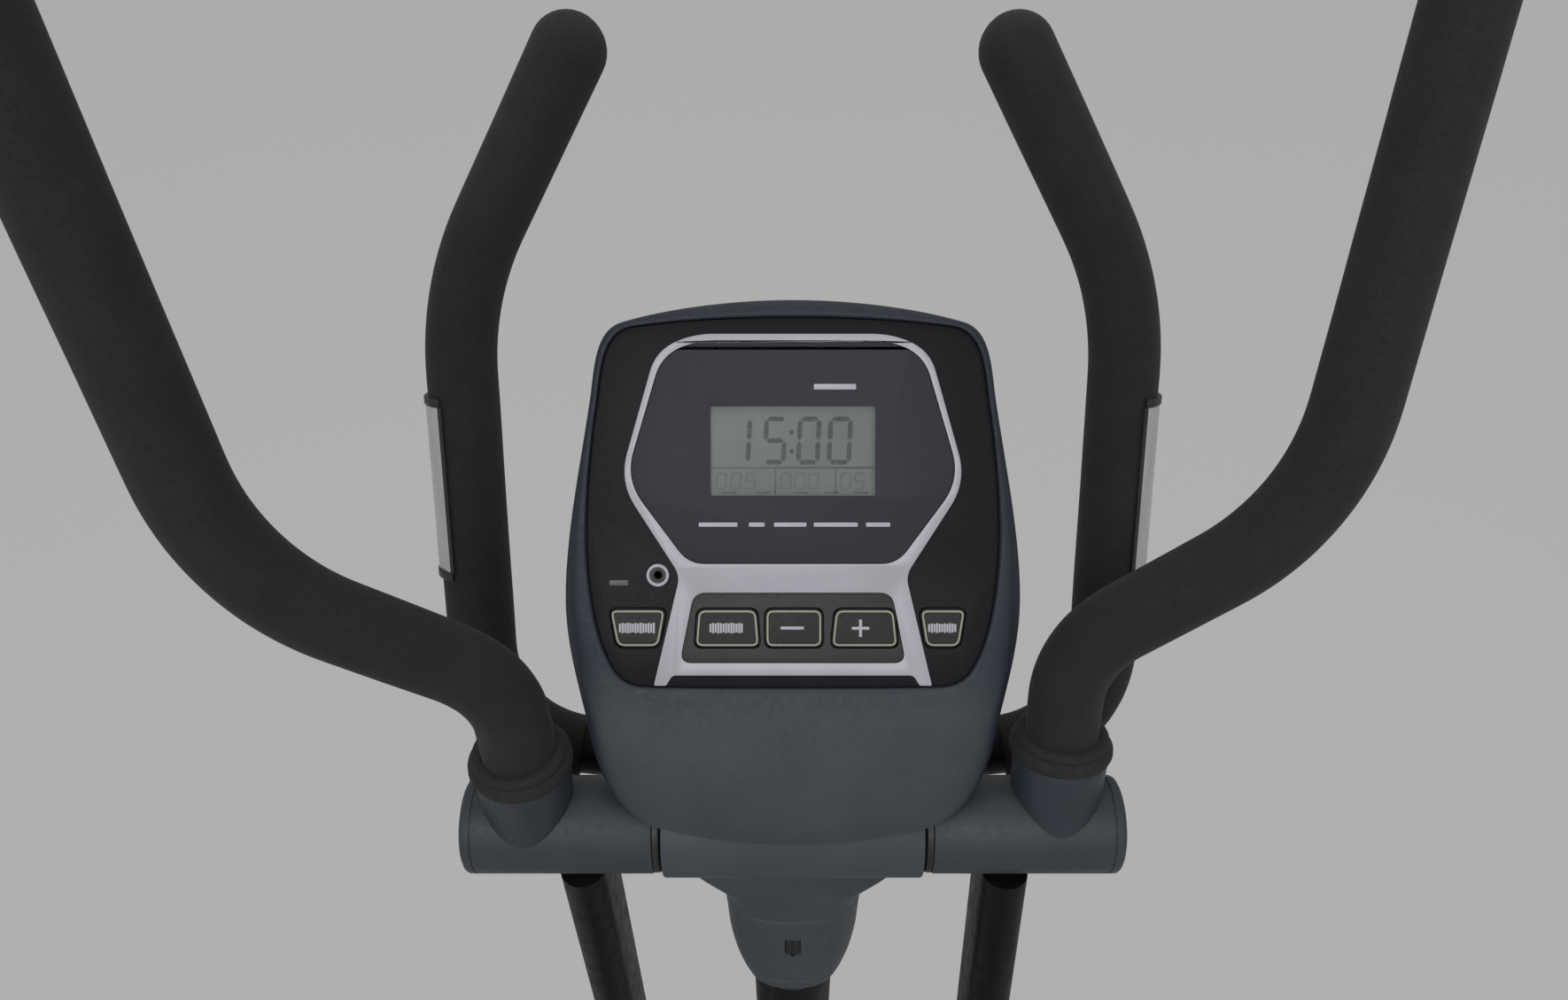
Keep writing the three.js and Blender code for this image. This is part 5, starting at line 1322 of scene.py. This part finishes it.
for k in range(7):
    turn = math.radians(196 + 11 * k)
    outline = spun(slot, turn, polar(100, turn, FLYWHEEL_YZ))
    vent_slots.append(slab(outline, [(0, 56.6), (0, 60)], "x"))
housing = minus(housing_skin, housing_hollow, axle_hole, frame_slot, rim_groove, *vent_slots)
screw_head = revolve([(0.2, 56.2), (4.6, 56.2), (4.8, 57.9), (4, 58.8), (2.6, 59.1), (0.2, 59.1)],
                     "x", sides=28)
screw = minus(screw_head, *[
    block((58.4, 60), (-a, a), (-b, b)) for a, b in ((0.5, 2.6), (2.6, 0.5))
])
housing_screws = []
for degrees in (150, 190, 232, 262):
    spot = polar(140, math.radians(degrees), FLYWHEEL_YZ)
    housing_screws.append(moved(screw, Matrix.Translation((0, *spot))))

disc = revolve([
    (10.5, 61), (188, 61), (193, 61.3), (195.4, 62.4), (196, 64), (196, 66.4), (195.3, 68),
    (193.6, 68.9), (191.6, 69), (184, 69), (182.4, 68.2), (181.6, 67.4), (142, 67.2), (140, 67.9),
    (138.4, 68.5), (136, 68.6), (134, 68.1), (132.4, 67.3), (62, 67.2), (59, 68), (56, 68.8),
    (53, 69), (10.5, 69),
], "x", CRANK_YZ, 160, looped=True)
pair("housing_shell_*", housing, SLATE, at_ground, ["housing_*"])
pair("housing_screws_*", merged(*housing_screws), STEEL, at_ground, angle=30)
pair("crank_cover_*", disc, DARK_PLASTIC, at_ground, ["crank_disc_*"], "crank", angle=35)
for word, side in SIDES:
    pin = polar(CRANK_RADIUS, crank_phase[word], CRANK_YZ)
    waist = [Vector(CRANK_YZ).lerp(Vector(pin), share) for share in (0.24, 0.8)]
    relief = plate(wrapped(waist[0], 11, waist[1], 8.6, 24), 80.6, 84, 0.1, "x")
    arm = plate(wrapped(CRANK_YZ, 24, pin, 19, 36), 70, 82, 1.8, "x")
    arm = minus(arm, relief, rod(69, 90, 10.4, "x", CRANK_YZ, 0.01))
    piece("crank_lever_" + word, for_side(arm, side), PAINT, at_ground, ["crank_arm_" + word],
          "crank")
    pin_shape = merged(rod(81, 84, 15, "x", pin, 0.8), rod(83, 86.7, 8.6, "x", pin, 0.3, 36))
    piece("crank_pin_" + word, for_side(pin_shape, side), STEEL, at_ground, (), "crank", angle=35)
nut_cap = revolve([(0.2, 81), (13.5, 81), (14, 81.8), (13.4, 83), (11, 84.2), (6, 84.8),
                   (0.2, 84.9)], "x", CRANK_YZ, 48)
pair("crank_nut_cap_*", nut_cap, DARK_PLASTIC, at_ground, (), "crank")

# ---- Pedal arms and foot plates ----

FOOT_X = (90, 222)         # the foot plate, from the pedal arm's joint
FOOT_Y = (-430, -86)
FOOT_Z = (24.3, 58)
arm_section_outline = rectangle((ARM_X - 15, ARM_X + 15), (-24, 24), 6)
arm_tube = slab(arm_section_outline, [(0, -680), (0, -47), (0.7, -46)])
ear_outline = rounded([(-90, -20, 6), (14, -20, 11), (22, 0, 8), (14, 20, 11), (-90, 20, 6)], 6)
crank_bearing = revolve([
    (9, 87), (24, 87), (25.4, 87.8), (26, 89.2), (26, 128.8), (25.4, 130.2), (24, 131),
    (19, 131), (18.4, 130), (0.2, 129.6), (0.2, 121), (9, 121),
], "x", (-PEDAL_ARM_LENGTH, 0), 72, looped=True)
bearing_weld = weld_bead(80, lambda c, s: (
    ARM_X + 15.4 * squared(c, 0.35),
    0.6 - PEDAL_ARM_LENGTH + math.sqrt(26.4 ** 2 - (24 * s) ** 2), 24 * s), 1.6)
foot_outline = rectangle(FOOT_X, FOOT_Y, 44, 14)
tray_skin = slab(foot_outline, [
    (4, FOOT_Z[0]), (2.6, 24.7), (1.6, 26), (1.1, 30), (0.4, 44), (0, 52), (0, 56.2),
    (0.6, 57.4), (1.8, 58)], "z")
tray_pocket = slab(foot_outline, [
    (12, 32.3), (8.6, 33.2), (6.8, 35.6), (5.6, 44), (4.6, 54), (4, 57), (3, 58.4)], "z")
heel_gap = slab(rounded([
    (FOOT_X[0] + 26, 59), (FOOT_X[0] + 40, 40.6, 9), (FOOT_X[1] - 40, 40.6, 9),
    (FOOT_X[1] - 26, 59), (FOOT_X[1] - 26, 62), (FOOT_X[0] + 26, 62)], 1.2, 8),
    [(0, FOOT_Y[0] - 2), (0, FOOT_Y[0] + 40)])
tray = minus(tray_skin, tray_pocket, heel_gap)
pads = []
PAD_ROWS = 15
PAD_TILT = 24
pad = rectangle((-13, 13), (-3, 3), 2.8, 4)
pad_steps = [(0, 32), (0, 34.2), (0.3, 34.7), (0.9, 34.9)]
for row in range(PAD_ROWS):
    y = FOOT_Y[0] + 46 + row * (FOOT_Y[1] - FOOT_Y[0] - 86) / (PAD_ROWS - 1)
    for column in range(3):
        x = (FOOT_X[0] + FOOT_X[1]) / 2 + (column - 1) * 33
        tilt = math.radians(PAD_TILT if (row + column) % 2 else -PAD_TILT)
        pads.append(slab(spun(pad, tilt, (x, y)), pad_steps, "z"))
ears = [plate(ear_outline, low, low + 5.5, 1.2, "x") for low in (ARM_X - 20, ARM_X + 14.5)]
ears = [minus(ear, rod(ARM_X - 30, ARM_X + 30, 8.3, "x", (0, 0), 0.01)) for ear in ears]
bolt_cap = revolve([(0.2, 128.6), (13.2, 128.6), (14, 129.4), (13.6, 131), (11, 132.6), (6, 133.2),
                    (0.2, 133.3)], "x", sides=48)
bolt_shank = rod(87, 130, 8, "x", (0, 0), 0.4)
bolt = merged(bolt_cap, plate(circle(12, 6), 84.7, 88.7, 0.7, "x"), bolt_shank)
for name, shape, material, replaces, angle in (
    ("pedal_tube_*", arm_tube, PAINT, ["pedal_arm_*"], 40),
    ("pedal_ears_*", merged(*ears), PAINT, (), 40),
    ("crank_bearing_*", crank_bearing, PAINT, (), 35),
    ("pedal_weld_*", bearing_weld, PAINT, (), 70),
    ("pivot_bolt_*", bolt, STEEL, ["pedal_bolt_*"], 35),
    ("foot_tray_*", tray, DARK_PLASTIC, ["foot_plate_*"], 40),
    ("foot_tread_*", merged(*pads), RUBBER, (), 40),
):
    pair(name, shape, material, at_pedal, replaces, "pedal_*", angle=angle)

# ---- CAD pieces that are right as they are ----

KEPT_NODES = {
    "pivot_axle": STEEL, "circuit_board": BOARD, "flywheel": IRON, "flywheel_axle": STEEL,
    "drive_pulley": DARK_PLASTIC, "drive_belt": RUBBER, "brake_arm": STEEL, "crank_axle": STEEL,
}
for name, material in KEPT_NODES.items():
    node = frame["nodes"][name]
    node.data.materials.clear()
    node.data.materials.append(material)
    edge_bevel(node, 0.6, 40)

# ---- Studio ----

CAMERA_PLACE = Vector((0, -376, 505))      # from the pivot
CAMERA_PITCH = 52
CAMERA_LENS = 27.11                        # on a sensor 36 mm wide
CAMERA_SHIFT = -0.00565
FLOOR_HALF = 60                            # metres
FLOOR_GLOW = 0.36
WORLD_LIGHT = 0.45
LIGHTS = (      # name, place, the point it aims at, its size, all in metres, and its power
    ("key_light", (-0.7, -2.6, 3.6), (0, 0.4, 1.2), (3.0, 2.4), 68),
    ("fill_light", (1.9, -1.6, 2.4), (0, 0.3, 1.2), (1.6, 2.2), 6),
    ("top_light", (0.2, 1.4, 4.2), (0, 0.4, 1.0), (2.6, 2.6), 22),
)
floor_shader = FLOOR.node_tree.nodes["Principled BSDF"]
floor_shader.inputs["Emission Color"].default_value = (1, 1, 1, 1)
floor_shader.inputs["Emission Strength"].default_value = FLOOR_GLOW
floor_mesh = bpy.data.meshes.new("studio_floor")
floor_corners = [
    (x * FLOOR_HALF, y * FLOOR_HALF, 0) for x, y in ((-1, -1), (1, -1), (1, 1), (-1, 1))
]
floor_mesh.from_pydata(floor_corners, [], [(0, 1, 2, 3)])
floor_mesh.materials.append(FLOOR)
in_scene("studio_floor", floor_mesh)

world = bpy.data.worlds.new("studio_world")
world.use_nodes = True
world.node_tree.nodes["Background"].inputs["Color"].default_value = (1, 1, 1, 1)
world.node_tree.nodes["Background"].inputs["Strength"].default_value = WORLD_LIGHT
bpy.context.scene.world = world

for name, place, aim, size, power in LIGHTS:
    lamp = bpy.data.lights.new(name, "AREA")
    lamp.shape = "RECTANGLE"
    lamp.size, lamp.size_y = size
    lamp.energy = power
    thing = in_scene(name, lamp)
    thing.location = place
    thing.rotation_euler = (Vector(aim) - Vector(place)).to_track_quat("-Z", "Y").to_euler()

camera_data = bpy.data.cameras.new("camera")
camera_data.sensor_width = 36
camera_data.lens = CAMERA_LENS
camera_data.shift_x = CAMERA_SHIFT
camera_data.clip_end = 200
camera = in_scene("camera", camera_data)
camera.location = (PIVOT + CAMERA_PLACE) * MM
camera.rotation_euler = (math.radians(CAMERA_PITCH), 0, 0)
bpy.context.scene.camera = camera
bpy.context.scene.view_settings.view_transform = "Standard"
